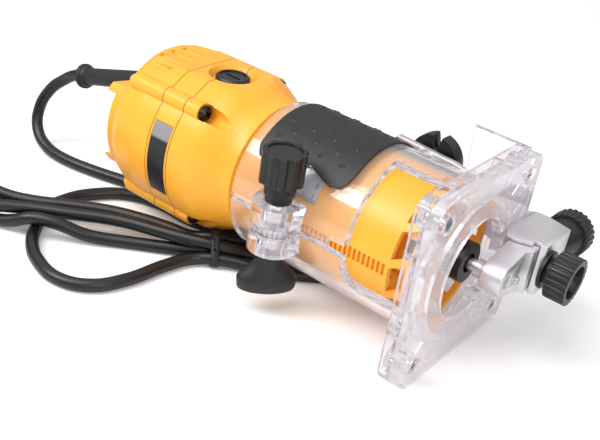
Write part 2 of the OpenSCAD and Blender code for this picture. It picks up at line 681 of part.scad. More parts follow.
module depth_knob() color(black) translate([-knob_back, knob_y, ear_top + 0.3]) difference() {
  union() {
    cylinder(h = 3.4, r = 6.2);
    translate([0, 0, 3.3]) cylinder(h = 6.1, r = 7);
    translate([0, 0, 9.2]) cylinder(h = knob_h, r = knob_r);
    translate([0, 0, 8]) cylinder(h = 1.3, r1 = 7, r2 = knob_r - 0.6);
  }
  for (a = [0:36:324]) rotate(a) translate([knob_r + 1.1, 0, 8]) cylinder(h = 30, r = 2.1);
  translate([0, 0, 9.2 + knob_h - 0.8]) cylinder(h = 2, r = knob_r - 2.2);
  translate([0, 0, -1]) cylinder(h = 17, r = 3.2);
}
module pinion_shaft() color(steel) translate([-knob_back, knob_y, 0]) {
  cylinder(h = ear_top + 0.2, r = pinion_hub_r);
  translate([0, 0, ear_bottom]) cylinder(h = -ear_bottom, r = pinion_hub_r);
  translate([0, 0, ear_bottom - 13]) cylinder(h = 14, r = 3);
  translate([0, 0, ear_top]) cylinder(h = 14, r = 3.15);
  cylinder(h = pinion_w, r = pitch_r - tooth_root, center = true);
  for (i = [0:pinion_teeth - 1]) rotate(90 + 360 / pinion_teeth * i) linear_extrude(pinion_w, center = true)
    polygon([[pitch_r - 1, -0.45], [pitch_r, -0.35], [pitch_r + tooth_h, -0.28],
      [pitch_r + tooth_h, 0.28], [pitch_r, 0.35], [pitch_r - 1, 0.45]]);
}
module clamp_wing() color(black) translate([-knob_back, knob_y, 0]) rotate(wing_turn) difference() {
  union() {
    translate([0, 0, wing_top - 4]) cylinder(h = 4, r = 5.2);
    hull() {
      translate([0, 0, wing_top - 4.5]) cylinder(h = 1, r = 5.2, $fn = 32);
      wing_oval(wing_band + 6, 1);
    }
    hull() {
      wing_oval(wing_band + 6, 1);
      wing_oval(wing_band, 0.9);
    }
  }
  translate([0, 0, ear_bottom - 13.5]) cylinder(h = 14, r = 3 + run_gap);
}
module wing_oval(z, s) for (e = [-1, 1]) translate([e * (wing_l - wing_w) / 2, 0, z])
  cylinder(h = 0.6, r = wing_w / 2 * s, $fn = 32);
module clamp_washer() color(steel) translate([-knob_back, knob_y, ear_bottom - 1.3]) difference() {
  cylinder(h = 1, r = 5.6);
  translate([0, 0, -1]) cylinder(h = 3, r = 3.2);
}

// Guide parts
module guide_axis() translate([-guide_wing_back, 0, guide_wing_up]) rotate([-90, 0, 0]) children();
module guide_bolt() color(steel) guide_axis() {
  translate([0, 0, 36.6]) rotate(30) cylinder(h = 3.4, d = 8 / cos(30), $fn = 6);
  translate([0, 0, 39.9]) cylinder(h = 22, r = screw_r);
}
module guide_washer() color(steel) guide_axis() translate([0, 0, leg_y1 + 0.15]) difference() {
  cylinder(h = 1, r = 6);
  translate([0, 0, -1]) cylinder(h = 3, r = screw_r + 0.15);
}
module guide_wing_nut() color(black) guide_axis() translate([0, 0, leg_y1 + 1.4]) difference() {
  union() {
    cylinder(h = 10, r = 5.5);
    translate([0, 0, 2.5]) linear_extrude(7) difference() {
      circle(r = 13.6);
      for (s = [-1, 1]) polygon([[-0.6, s * 6.4], [0.6, s * 6.4], [3.4, s * 16], [-3.4, s * 16]]);
    }
  }
  translate([0, 0, -1]) cylinder(h = 14, r = screw_r + run_gap);
}
module guide_bracket() color(alloy) difference() {
  union() {
    translate([0, 0, -block_h]) linear_extrude(2 * block_h)
      polygon([[guide_x, leg_y1], [guide_x, 24], [3.3, block_y0], [9, block_y0], [16.6, 22], [block_x1, 23.7],
        [block_x1, 47.5], [9, block_y1], [4, block_y1]]);
    translate([0, leg_y0, 0]) rotate([-90, 0, 0]) linear_extrude(leg_t)
      polygon([[4, -11], [-42, -guide_wing_up - 7], [-guide_wing_back - 18, -guide_wing_up - 8.5],
        [-guide_wing_back - 20, -guide_wing_up - 6], [-guide_wing_back - 20, -guide_wing_up + 7.5],
        [-guide_wing_back - 2, -guide_wing_up + 9], [4, 11]]);
  }
  translate([chan_x0, 0, -chan_h]) cube([chan_x1 - chan_x0, chan_y1, 2 * chan_h]);
  translate([adjust_x, 0, 0]) rotate([-90, 0, 0]) cylinder(h = 60, r = screw_r + run_gap);
  translate([0, clamp_y, 0]) rotate([0, 90, 0]) translate([0, 0, chan_x1 - 1]) cylinder(h = 10, r = 2 + run_gap);
  translate([-guide_wing_back - 15, 0, guide_wing_up - screw_r - 0.3]) cube([18, 60, 2 * screw_r + 0.6]);
  translate([-guide_wing_back + 3, 0, guide_wing_up]) rotate([-90, 0, 0]) cylinder(h = 60, r = screw_r + 0.3);
  translate([-guide_wing_back - 15, 0, guide_wing_up]) rotate([-90, 0, 0]) cylinder(h = 60, r = screw_r + 0.3);
  translate([chan_x1 - 3, 0, -20]) cube([3.1, 24, 40]);
}
module guide_arm() color(alloy) difference() {
  intersection() {
    union() {
      translate([0, roller_y, 0]) x_disc(chan_x0 + fit_gap, chan_x1 - fit_gap, arm_end_r);
      translate([chan_x0 + fit_gap, 0, 0]) rotate([90, 0, 90]) linear_extrude(chan_x1 - chan_x0 - 2 * fit_gap)
        arm_sides();
    }
    translate([0, 0, -20]) linear_extrude(40) polygon([[0, -20], [15, -20], [15, 15.4], [18, 18.4], [18, 60], [0, 60]]);
  }
  translate([0, roller_y, 0]) x_disc(0, 30, roller_pin_r);
  translate([adjust_x, 0, 0]) rotate([-90, 0, 0]) translate([0, 0, 18.6]) cylinder(h = 40, r = screw_r + run_gap);
  translate([12, 13.2, -3.3]) rotate([0, 90, 0]) cylinder(h = 6, r = 1.05);
}
// side view of the arm from its rounded end on: it widens to the height of the channel
module arm_sides() {
  h = chan_h - fit_gap;
  y1 = 18;
  d = y1 - roller_y;
  a = atan2(h, d) - asin(arm_end_r / sqrt(d * d + h * h));
  inner = arm_end_r - 0.4;       // the sides cross the round end, so that the two join
  px = roller_y - inner * sin(a);
  polygon([[px, inner * cos(a)], [y1, h], [arm_tail_y, h], [arm_tail_y, -h], [y1, -h], [px, -inner * cos(a)]]);
}
module arm_screw() color(steel) translate([15.05, 13.2, -3.3]) rotate([0, 90, 0]) difference() {
  union() {
    cylinder(h = 1.2, r1 = 1.9, r2 = 1.5);
    translate([0, 0, -2.8]) cylinder(h = 3, r = 1);
  }
  translate([-1.2, -0.3, 0.7]) cube([2.4, 0.6, 1]);
}
module roller_pin() color(steel) translate([0, roller_y, 0]) {
  x_disc(roller_x0 - 0.6, 12, roller_pin_r - 0.02);
  x_disc(0.3, chan_x0 + fit_gap - 0.02, 4.35);
  x_disc(roller_x0 - 1, roller_x0 - 0.3, 3.6);
}
module guide_roller() color(black) translate([0, roller_y, 0]) difference() {
  x_disc(roller_x0, roller_x0 + roller_t, roller_r);
  x_disc(roller_x0 - 1, 5, roller_pin_r - 0.02 + run_gap);
  x_disc(roller_x0 + roller_t - 1.6, 5, 4.6);
}
// knurled hollow knob along its own Z, open at the far end
module knurled_knob(len) difference() {
  cylinder(h = len, r = guide_knob_r);
  for (a = [0:15:345]) rotate(a) translate([guide_knob_r + 0.25, 0, -1]) cylinder(h = len + 2, r = 0.8, $fn = 16);
  translate([0, 0, 3]) cylinder(h = len, r = guide_knob_r - 3.2);
  translate([0, 0, -1]) cylinder(h = len, r = 2);
}
module adjust_at() translate([adjust_x, block_y1, 0]) rotate([-90, 0, 0]) children();
module adjust_knob() color(black) adjust_at() {
  translate([0, 0, 12]) knurled_knob(9);
  difference() {
    translate([0, 0, 0.4]) cylinder(h = 11.8, r1 = 6, r2 = 9.6);
    translate([0, 0, 0]) cylinder(h = 14, r = 2.02);
  }
}
module adjust_screw() color(steel) {
  adjust_at() {
    cylinder(h = 15.4, r = 1.98);
    translate([0, 0, adjust_tip - block_y1]) cylinder(h = block_y1 - adjust_tip + 0.3, r = screw_r);
    translate([0, 0, 15.2]) cylinder(h = 1, r = 5);
  }
}
module guide_clamp_at() translate([block_x1, clamp_y, 0]) rotate([0, 90, 0]) children();
module guide_clamp_knob() color(black) guide_clamp_at() {
  translate([0, 0, 5]) knurled_knob(10);
  difference() {
    union() {
      translate([0, 0, 0.4]) cylinder(h = 1.6, r = 9);
      translate([0, 0, 1.9]) cylinder(h = 3.3, r = 6);
    }
    cylinder(h = 6, r = 2.02);
  }
}
module guide_clamp_screw() color(steel) guide_clamp_at() {
  translate([0, 0, -(block_x1 - chan_x1) + 0]) cylinder(h = 3.3, r = 2);
  translate([0, 0, 0.2]) cylinder(h = 7, r = 1.98);
  translate([0, 0, 8.2]) cylinder(h = 1, r = 4);
  translate([0, 0, 7]) cylinder(h = 1.3, r = 1.98);
}

// Cord
module cord_guard() color(black) guard_line() difference() {
  union() {
    translate([0, 0, -7.5]) cylinder(h = norm(guard_to - guard_from) + 7.5, r = guard_r);
    translate([0, 0, norm(guard_to - guard_from) - 3.5]) cylinder(h = 3.5, r = 6.75);
    translate([0, 0, norm(guard_to - guard_from) - 10.5]) cylinder(h = 1, r = 5.2);
  }
  translate([0, 0, -8]) cylinder(h = norm(guard_to - guard_from) + 7, r = cord_r);
}
module cord_clamp() color(black) translate([-head_rear + shell_wall + 6.2, guard_from[1], guard_from[2]]) difference() {
  translate([0, -9, -4.2]) cube([8, 18, 2.6]);
  for (y = [-6.5, 6.5]) translate([4, y, -6]) cylinder(h = 6, r = 1.4);
}

function lane(v, z, along = 0) = [tie_at[0] + tie_dir[0] * along + tie_side[0] * v,
  tie_at[1] + tie_dir[1] * along + tie_side[1] * v, z];
function bight(s, v) = [bight_at[0] + bight_dir[0] * s + bight_side[0] * v,
  bight_at[1] + bight_dir[1] * s + bight_side[1] * v, cord_z];
function reversed(p) = [for (i = [len(p) - 1:-1:0]) p[i]];
// a fold beyond the tie, run from its far arm: each arm is given by its places across the fold
function fold(r, far, near) = concat([bight(-46, far[0]), bight(-24, far[1])],
  [for (a = [-90:45:90]) bight(r * cos(a), -r * sin(a))], [bight(-24, -near[1]), bight(-40, -near[0])]);
outer_fold = fold(33, [23, 29.5], [23, 29]);
middle_fold = fold(26, [15, 21.5], [13, 20.5]);
inner_fold = fold(19, [6, 13.5], [4, 12]);

lead_pts = [[-260, -8.5, -4], [-269, -11, -13], [-273, -15, -25], [-269, -19, -35], [-256, -22, -41],
  [-240, -22, -41.8], [-220, -18, -41.8], [-200, -12, -41.8], [-175, -6, -41.8], [-152, -4, -41.8]];
near_run_pts = [[-134, -38, -34.9], [-146, -43, -34.9], [-166, -52, -34.9], [-186, -67, -34.9], [-202, -80, -34.6],
  [-213, -92, -34.4], [-221, -104, -36.2], [-229, -117, -39.6], [-236, -129, -41.6]];
return_run_pts = [[-250, -79, -36.5], [-240, -84.5, -40], [-229, -89, -41.8], [-219, -91, -41.8], [-210, -90, -41.4],
  [-201, -87, -38.9], [-193, -83, -35.2], [-184, -77.5, -35.2],
  [-170, -66, -40.8], [-154, -53, -41.8], [-137, -40, -41.6]];
side_loop_pts = [[-125, -40, -41.6], [-129, -54, -41.8], [-132, -78, -41.8], [-139, -93, -41.8],
  [-152, -100, -41.8], [-168, -98, -41.8], [-182, -91, -41.8], [-194, -79, -41.8], [-203, -67, -41.8],
  [-206, -52, -41.8], [-201, -34, -41.8], [-190, -21, -41.8], [-172, -15, -41.8], [-150, -14, -41.8],
  [-137, -9, -41.8]];
exit_run_pts = [[-135, -30, -37.6], [-148, -35, -36.6], [-160, -41, -35.4], [-175, -49, -34.9],
  [-190, -60, -34.9], [-206, -73, -34.9],
  [-217, -79.5, -34.3], [-228, -85, -31.5], [-239, -91, -27.6], [-247, -95.5, -23.6], plug_start];
guard_dir = (guard_to - guard_from) / norm(guard_to - guard_from);

// coil in two layers: clockwise inwards, climbing about half a turn, and outwards again
function coil_rad(a) = coil_r - coil_step / 360 * min(coil_in, a, coil_turn - a);
function coil_z(a) = cord_z + (layer_z - cord_z) * min(1, max(0, (a - coil_in) / coil_climb));
function coil_pt(a) = [coil_at[0] + coil_rad(a) * cos(coil_from - a),
  coil_at[1] + coil_rad(a) * sin(coil_from - a), coil_z(a)];
coil_pts = [for (a = [0:coil_a:coil_turn]) coil_pt(a)];
before_coil_pts = concat([guard_to, guard_to + guard_dir * 7], lead_pts, outer_fold,
  [lane(-tie_lane, tie_z)], side_loop_pts, middle_fold,
  [lane(-tie_lane / 2, tie_top_z)], near_run_pts, [coil_pt(0)]);
after_coil_pts = concat([coil_pt(coil_turn)], return_run_pts, [lane(0, tie_z)], reversed(inner_fold),
  [lane(tie_lane / 2, tie_top_z)], exit_run_pts);

// Tube swept along points: a ring of sides corners stands square to the path at each point
function unit(v) = v / norm(v);
function tangents(p) = [for (i = [0:len(p) - 1])
  unit(p[min(i + 1, len(p) - 1)] - p[max(i - 1, 0)])];
function across(t) = unit(abs(t[2]) > 0.95 ? cross(t, [1, 0, 0]) : cross([0, 0, 1], t));
function ring_pts(c, t, r, sides) = let (a = across(t), b = cross(t, a))
  [for (k = [0:sides - 1]) c + r * (cos(360 * (k + 0.5) / sides) * a + sin(360 * (k + 0.5) / sides) * b)];
module tube(p, r, sides) {
  t = tangents(p);
  n = len(p);
  pts = [for (i = [0:n - 1]) each ring_pts(p[i], t[i], r, sides)];
  sides_f = [for (i = [0:n - 2], k = [0:sides - 1]) let (a = i * sides + k, b = i * sides + (k + 1) % sides)
    each [[a, b, b + sides], [a, b + sides, a + sides]]];
  ends = [for (k = [1:sides - 2]) each [[0, k + 1, k], [(n - 1) * sides, (n - 1) * sides + k, (n - 1) * sides + k + 1]]];
  polyhedron(points = pts, faces = concat([for (f = sides_f) reversed(f)], [for (f = ends) reversed(f)]), convexity = 10);
}
function path_len(p, i = 0, s = 0) = i >= len(p) - 1 ? s : path_len(p, i + 1, s + norm(p[i + 1] - p[i]));
module power_cord() color(black) {
  tube(before_coil_pts, cord_r, 8);
  tube(after_coil_pts, cord_r, 8);
}
module cord_coil() color(black) tube(coil_pts, cord_r, 6);
echo(cord_length = path_len(before_coil_pts) + path_len(coil_pts) + path_len(after_coil_pts));

module cord_tie() color([0.08, 0.08, 0.08]) translate([tie_at[0], tie_at[1], 0])
  rotate([0, 0, atan2(tie_dir[1], tie_dir[0])]) rotate([90, 0, 90]) linear_extrude(tie_w, center = true) difference() {
    tie_outline(cord_r + 1);
    tie_outline(cord_r + 0.4);
  }
// line round the strands at the tie
module tie_outline(r) hull() for (v = [0, 1]) {
  translate([(v - 1) * tie_lane, tie_z]) circle(r = r, $fn = 32);
  translate([(v - 0.5) * tie_lane, tie_top_z]) circle(r = r, $fn = 32);
}

module plug_at() translate(plug_start) rotate([90, 0, plug_turn]) children();
module plug_body() color(black) plug_at() difference() {
  union() {
    translate([0, 0, 12]) linear_extrude(plug_len - 12) difference() {
      square([34, plug_h], center = true);
      for (s = [-1, 1]) translate([s * 19, 0]) rotate(45) square([8, 8], center = true);
    }
    cylinder(h = 12.2, r1 = 5, r2 = 8.5);
  }
}
module plug_pins() color(steel) plug_at() for (s = [-1, 1])
  translate([s * 9.5, 0, plug_len + 0.02]) cylinder(h = 19, r = plug_pin_r);

motor_housing();
mid_ring();
rear_cover();
housing_screws();
brush_caps();
brush_holders();
carbon_brushes();
brush_springs();
rating_label();
depth_scale();
switch_body();
switch_rocker();
front_bearing();
rear_bearing();
stator_core();
stator_coils();
spindle();
rotor_core();
rotor_windings();
commutator();
fan();
collet();
collet_nut();
clear_base();
sub_base();
sub_base_screws();
grip_pad();
depth_knob();
pinion_shaft();
clamp_wing();
clamp_washer();
guide_bolt();
guide_washer();
guide_wing_nut();
guide_bracket();
guide_arm();
arm_screw();
roller_pin();
guide_roller();
adjust_knob();
adjust_screw();
guide_clamp_knob();
guide_clamp_screw();
cord_guard();
cord_clamp();
power_cord();
cord_coil();
cord_tie();
plug_body();
plug_pins();
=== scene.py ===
"""Looks of a palm router with a clear base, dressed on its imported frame.

All lengths are metres in the frame of the part: X along the spindle towards the work, Z up.
"""

import logging
import math
from dataclasses import dataclass
from enum import Enum
from typing import Any, Sequence

import bmesh
import bpy
from mathutils import Matrix, Vector


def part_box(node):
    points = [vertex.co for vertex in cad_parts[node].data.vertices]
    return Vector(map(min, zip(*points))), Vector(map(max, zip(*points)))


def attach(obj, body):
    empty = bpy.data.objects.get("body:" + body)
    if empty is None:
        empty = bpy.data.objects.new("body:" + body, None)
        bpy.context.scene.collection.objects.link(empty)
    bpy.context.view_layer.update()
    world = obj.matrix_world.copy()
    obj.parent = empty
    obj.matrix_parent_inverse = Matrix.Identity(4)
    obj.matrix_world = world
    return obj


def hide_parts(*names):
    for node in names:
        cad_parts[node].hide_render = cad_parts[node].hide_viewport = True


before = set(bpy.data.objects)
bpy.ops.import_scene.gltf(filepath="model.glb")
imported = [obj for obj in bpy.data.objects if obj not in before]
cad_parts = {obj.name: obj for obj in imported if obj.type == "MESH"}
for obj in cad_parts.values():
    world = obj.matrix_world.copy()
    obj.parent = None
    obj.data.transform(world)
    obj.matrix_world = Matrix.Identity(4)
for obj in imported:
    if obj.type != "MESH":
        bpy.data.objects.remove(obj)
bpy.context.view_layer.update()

log = logging.getLogger("router")
MM = 0.001

# Corners closer than this are one corner: in a finished mesh, and in a copy or a spun shape
WELD = 0.001 * MM
MERGE = 0.002 * MM
# Rays that a shaded edge takes to look round a corner
EDGE_RAYS = 4

Tree = bpy.types.NodeTree
Piece = bpy.types.Object
Material = bpy.types.Material
Link = tuple[bpy.types.Node, Any]
Flat = tuple[float, float]
Point = tuple[float, float, float]
Fold = tuple[float, Flat, Flat]


class Slot(Enum):
    """Material slots of the part's record, passed with each new piece."""

    BLACK = "black_plastic"
    RUBBER = "black_rubber"
    ALLOY = "satin_alloy"


class Pattern(Enum):
    """What a finish's relief looks like."""

    GRAIN = "grain"
    TURNED = "turned"
    STACKED = "stacked"
    WOUND = "wound"


def linear(colour: str) -> tuple[float, float, float, float]:
    """Turns an sRGB hex colour to the linear values that a shader takes.

    Args:
        colour: six hex digits after a hash sign.

    Returns:
        Red, green, blue and an alpha of one.
    """
    parts = [int(colour[i:i + 2], 16) / 255 for i in (1, 3, 5)]
    red, green, blue = [p / 12.92 if p <= 0.04045 else ((p + 0.055) / 1.055) ** 2.4 for p in parts]
    return red, green, blue, 1.0


def add_node(
    tree: Tree,
    kind: str,
    settings: dict[str, Any] | None = None,
    inputs: dict[Any, Any] | None = None,
    links: dict[Any, Link] | None = None,
) -> bpy.types.Node:
    """Adds a node to a tree, sets it and links what feeds it.

    Args:
        tree: the node tree.
        kind: the node's type name.
        settings: values for the node's own properties.
        inputs: values for its input sockets.
        links: for an input socket, the node and the output socket that feed it.

    Returns:
        The new node.
    """
    node = tree.nodes.new(kind)
    for name, value in (settings or {}).items():
        setattr(node, name, value)
    for name, value in (inputs or {}).items():
        node.inputs[name].default_value = value
    for name, (source, socket) in (links or {}).items():
        tree.links.new(source.outputs[socket], node.inputs[name])
    return node


def add_maths(tree: Tree, operation: str, *operands: float | Link) -> Link:
    """Adds a maths node.

    Args:
        tree: the node tree.
        operation: what it does.
        operands: its numbers, each a value or the output that feeds it.

    Returns:
        The node and its output.
    """
    links = {i: feed for i, feed in enumerate(operands) if isinstance(feed, tuple)}
    values = {i: value for i, value in enumerate(operands) if i not in links}
    return add_node(tree, "ShaderNodeMath", {"operation": operation}, values, links), 0


def add_noise(tree: Tree, place: Link, scale: float, detail: float, roughness: float = 0.5) -> Link:
    """Adds soft noise.

    Args:
        tree: the node tree.
        place: the output that gives the place.
        scale: how often it repeats in a metre.
        detail: how many finer layers it has.
        roughness: how strong the finer layers are.

    Returns:
        The node and its output.
    """
    settings = {"Scale": scale, "Detail": detail, "Roughness": roughness}
    return add_node(tree, "ShaderNodeTexNoise", {}, settings, {"Vector": place}), "Fac"


def add_range(tree: Tree, value: Link, span: Flat, target: Flat = (0.0, 1.0),
              interpolation: str = "LINEAR") -> Link:
    """Adds a node that carries one range of values to another.

    Args:
        tree: the node tree.
        value: the output that gives the value.
        span: the range that it has.
        target: the range that it gets.
        interpolation: how it goes from end to end.

    Returns:
        The node and its output.
    """
    ends = {"From Min": span[0], "From Max": span[1], "To Min": target[0], "To Max": target[1]}
    kind = {"interpolation_type": interpolation}
    return add_node(tree, "ShaderNodeMapRange", kind, ends, {"Value": value}), 0


def add_blend(tree: Tree, share: Link, first: str | Link, second: str) -> Link:
    """Adds a mix of two colours.

    Args:
        tree: the node tree.
        share: the output that gives the second colour's share.
        first: the first colour, in hex digits or as an output.
        second: the second colour in hex digits.

    Returns:
        The node and its output.
    """
    values = {7: linear(second)}
    links = {0: share}
    if isinstance(first, str):
        values[6] = linear(first)
    else:
        links[6] = first
    return add_node(tree, "ShaderNodeMix", {"data_type": "RGBA"}, values, links), 2


def add_bump(tree: Tree, height: Link, strength: float, depth_mm: float,
             edge_mm: float = 0.0) -> Link:
    """Adds a relief, over shaded round edges if they have a radius.

    Args:
        tree: the node tree.
        height: the output that gives the relief's height.
        strength: how strong it is.
        depth_mm: how deep it is.
        edge_mm: radius of the shaded edges.

    Returns:
        The node and its output.
    """
    links = {"Height": height}
    if edge_mm:
        radius = {"Radius": edge_mm * MM}
        edge = add_node(tree, "ShaderNodeBevel", {"samples": EDGE_RAYS}, radius)
        links["Normal"] = (edge, "Normal")
    values = {"Strength": strength, "Distance": depth_mm * MM}
    return add_node(tree, "ShaderNodeBump", {}, values, links), 0


def add_place(tree: Tree) -> Link:
    """Adds the place of a point on its piece.

    Args:
        tree: the node tree.

    Returns:
        The node and its output.
    """
    return add_node(tree, "ShaderNodeTexCoord"), "Object"


def add_split(tree: Tree, place: Link) -> bpy.types.Node:
    """Adds the node that splits a place into X, Y and Z.

    Args:
        tree: the node tree.
        place: the output that gives the place.

    Returns:
        The node.
    """
    return add_node(tree, "ShaderNodeSeparateXYZ", {}, {}, {0: place})


def new_material(name: str) -> tuple[Material, Tree]:
    """Makes an empty node material.

    Args:
        name: the material's name.

    Returns:
        The material and its node tree.
    """
    material = bpy.data.materials.new(name)
    material.use_nodes = True
    material.node_tree.nodes.clear()
    return material, material.node_tree


def end_material(tree: Tree, surface: bpy.types.Node) -> None:
    """Links a shader to the material's output.

    Args:
        tree: the material's tree.
        surface: the shader.
    """
    add_node(tree, "ShaderNodeOutputMaterial", {}, {}, {"Surface": (surface, 0)})


@dataclass(frozen=True)
class Finish:
    """An opaque finish: two tones, a relief and soft edges.

    The tones drift over tone_mm, the relief repeats over relief_mm and stands relief_depth
    millimetres high, and edge_mm is the radius at which light catches a moulded or broken edge.
    """

    name: str
    colour: str
    tone: str
    roughness: float
    metallic: float = 0.0
    ior: float = 1.5
    coat: float = 0.0
    pattern: Pattern = Pattern.GRAIN
    tone_mm: float = 30.0
    relief_mm: float = 0.5
    relief_depth: float = 0.02
    edge_mm: float = 0.4
    rough_swing: float = 0.08
    height_span: Flat = (0.3, 0.7)
    # Lines at these joints are painted dark: dust in the joint and painted shade in its gap
    seams_mm: tuple[float, ...] = ()
    seam_half_mm: float = 0.22
    seam_dust_and_shade_colour: str = "#6b3a0a"

    def relief(self, tree: Tree, place: Link) -> Link:
        """Adds the node that gives the relief's height.

        Args:
            tree: the material's tree.
            place: the output that gives the place.

        Returns:
            The output that holds the height.
        """
        turns = 1 / (self.relief_mm * MM)
        if self.pattern is Pattern.GRAIN:
            return add_noise(tree, place, turns, detail=3.0, roughness=0.6)
        form = "RINGS" if self.pattern is Pattern.TURNED else "BANDS"
        wave = add_node(
            tree, "ShaderNodeTexWave",
            {"wave_type": form, "bands_direction": "X", "rings_direction": "X"},
            {"Scale": turns / math.tau * 2, "Distortion": 0.4, "Detail": 1.0, "Detail Scale": 0.6},
            {"Vector": place})
        return wave, "Fac"

    def paint_seam_dust_and_shade(self, tree: Tree, place: Link, colour: Link, seam: float) -> Link:
        """Adds the dark line of a joint between two mouldings: dust in the joint and painted shade
        in its gap.

        Args:
            tree: the material's tree.
            place: the output that gives the place.
            colour: the output that holds the colour so far.
            seam: the joint's place along X, in millimetres.

        Returns:
            The output that holds the colour with the line in it.
        """
        along = (add_split(tree, place), "X")
        line = add_maths(tree, "COMPARE", along, seam * MM, self.seam_half_mm * MM)
        return add_blend(tree, line, colour, self.seam_dust_and_shade_colour)

    def build(self) -> Material:
        """Builds the material.

        Returns:
            The material.
        """
        material, tree = new_material(self.name)
        place = add_place(tree)
        drift = add_noise(tree, place, 1 / (self.tone_mm * MM), detail=4.0)
        colour = add_blend(tree, drift, self.colour, self.tone)
        for seam in self.seams_mm:
            colour = self.paint_seam_dust_and_shade(tree, place, colour, seam)
        height = self.relief(tree, place)
        swing = self.rough_swing / 2
        rough = add_range(tree, height, self.height_span,
                          (self.roughness - swing, self.roughness + swing))
        bump = add_bump(tree, height, 0.6, self.relief_depth, self.edge_mm)
        shader = add_node(
            tree, "ShaderNodeBsdfPrincipled", {},
            {"Metallic": self.metallic, "IOR": self.ior, "Coat Weight": self.coat,
             "Coat Roughness": 0.12},
            {"Base Color": colour, "Roughness": rough, "Normal": bump})
        end_material(tree, shader)
        return material


@dataclass(frozen=True)
class ClearPlastic:
    """Polycarbonate, injection moulded and polished: clear, with a faint cool cast."""

    name: str = "moulded_clear_polycarbonate"
    colour: str = "#f8f5f8"
    passing: str = "#f4f2f4"
    painted_glow_colour: str = "#efeaf0"
    roughness: float = 0.03
    haze: float = 0.06
    ior: float = 1.45
    flow_mm: float = 9.0
    flow_depth: float = 0.06
    edge_mm: float = 0.5
    # Past this many walls or mirrors a ray ends in a patchy pale glow: a painted reflection of the
    # surroundings
    walls: int = 5
    mirrors: int = 1
    glow_patch_mm: float = 5.0
    glow_patch_span: Flat = (0.36, 0.6)
    dimmest_glow: float = 0.3

    def build(self) -> Material:
        """Builds the material: its long low flow marks bend what is seen through it.

        Lamps shine through it, and a ray that has crossed many walls, or is trapped between two,
        ends as a patchy pale glow, a painted reflection of the surroundings, instead of black.

        Returns:
            The material.
        """
        material, tree = new_material(self.name)
        place = add_place(tree)
        flow = add_noise(tree, place, 1 / (self.flow_mm * MM), detail=2.0)
        bump = add_bump(tree, flow, 0.5, self.flow_depth, self.edge_mm)
        shader = add_node(
            tree, "ShaderNodeBsdfPrincipled", {},
            {"Base Color": linear(self.colour), "Roughness": self.roughness, "IOR": self.ior,
             "Transmission Weight": 1.0 - self.haze}, {"Normal": bump})
        path = add_node(tree, "ShaderNodeLightPath")
        lit = add_maths(tree, "MAXIMUM", (path, "Is Shadow Ray"), (path, "Is Diffuse Ray"))
        open_way = add_node(tree, "ShaderNodeBsdfTransparent", {}, {"Color": linear(self.passing)})
        passed = add_node(tree, "ShaderNodeMixShader", {}, {},
                          {0: lit, 1: (shader, 0), 2: (open_way, 0)})
        crossed = add_maths(tree, "GREATER_THAN", (path, "Transmission Depth"), self.walls + 0.5)
        trapped = add_maths(tree, "GREATER_THAN", (path, "Glossy Depth"), self.mirrors + 0.5)
        deep = add_maths(tree, "MAXIMUM", crossed, trapped)
        # Painted reflection: an emission in a patchy pale tint stands in for the surroundings seen
        # in the walls
        glow_patches = add_noise(tree, place, 1 / (self.glow_patch_mm * MM), detail=3.0)
        painted_glow_level = add_range(tree, glow_patches, self.glow_patch_span, (self.dimmest_glow, 1.0))
        pale = add_node(tree, "ShaderNodeEmission", {}, {"Color": linear(self.painted_glow_colour)},
                        {"Strength": painted_glow_level})
        surface = add_node(tree, "ShaderNodeMixShader", {}, {},
                           {0: deep, 1: (passed, 0), 2: (pale, 0)})
        end_material(tree, surface)
        return material


@dataclass(frozen=True)
class LabelFilm:
    """Printed vinyl label: black gloss film with a plain grey field at its top, bare of words."""

    grey_from: float
    name: str = "printed_vinyl_label"
    black: str = "#17171b"
    grey: str = "#8b8b90"
    fade_mm: float = 1.5
    scuff_mm: float = 2.5
    roughness: float = 0.25
    scuff_swing: float = 0.15

    def build(self) -> Material:
        """Builds the material.

        Returns:
            The material.
        """
        material, tree = new_material(self.name)
        place = add_place(tree)
        fade = add_range(tree, (add_split(tree, place), "Z"),
                         (self.grey_from, self.grey_from + self.fade_mm * MM))
        scuff = add_noise(tree, place, 1 / (self.scuff_mm * MM), detail=3.0)
        colour = add_blend(tree, fade, self.black, self.grey)
        rough = add_range(tree, scuff, (0.0, 1.0),
                          (self.roughness, self.roughness + self.scuff_swing))
        shader = add_node(tree, "ShaderNodeBsdfPrincipled", {}, {"IOR": 1.5},
                          {"Base Color": colour, "Roughness": rough})
        end_material(tree, shader)
        return material


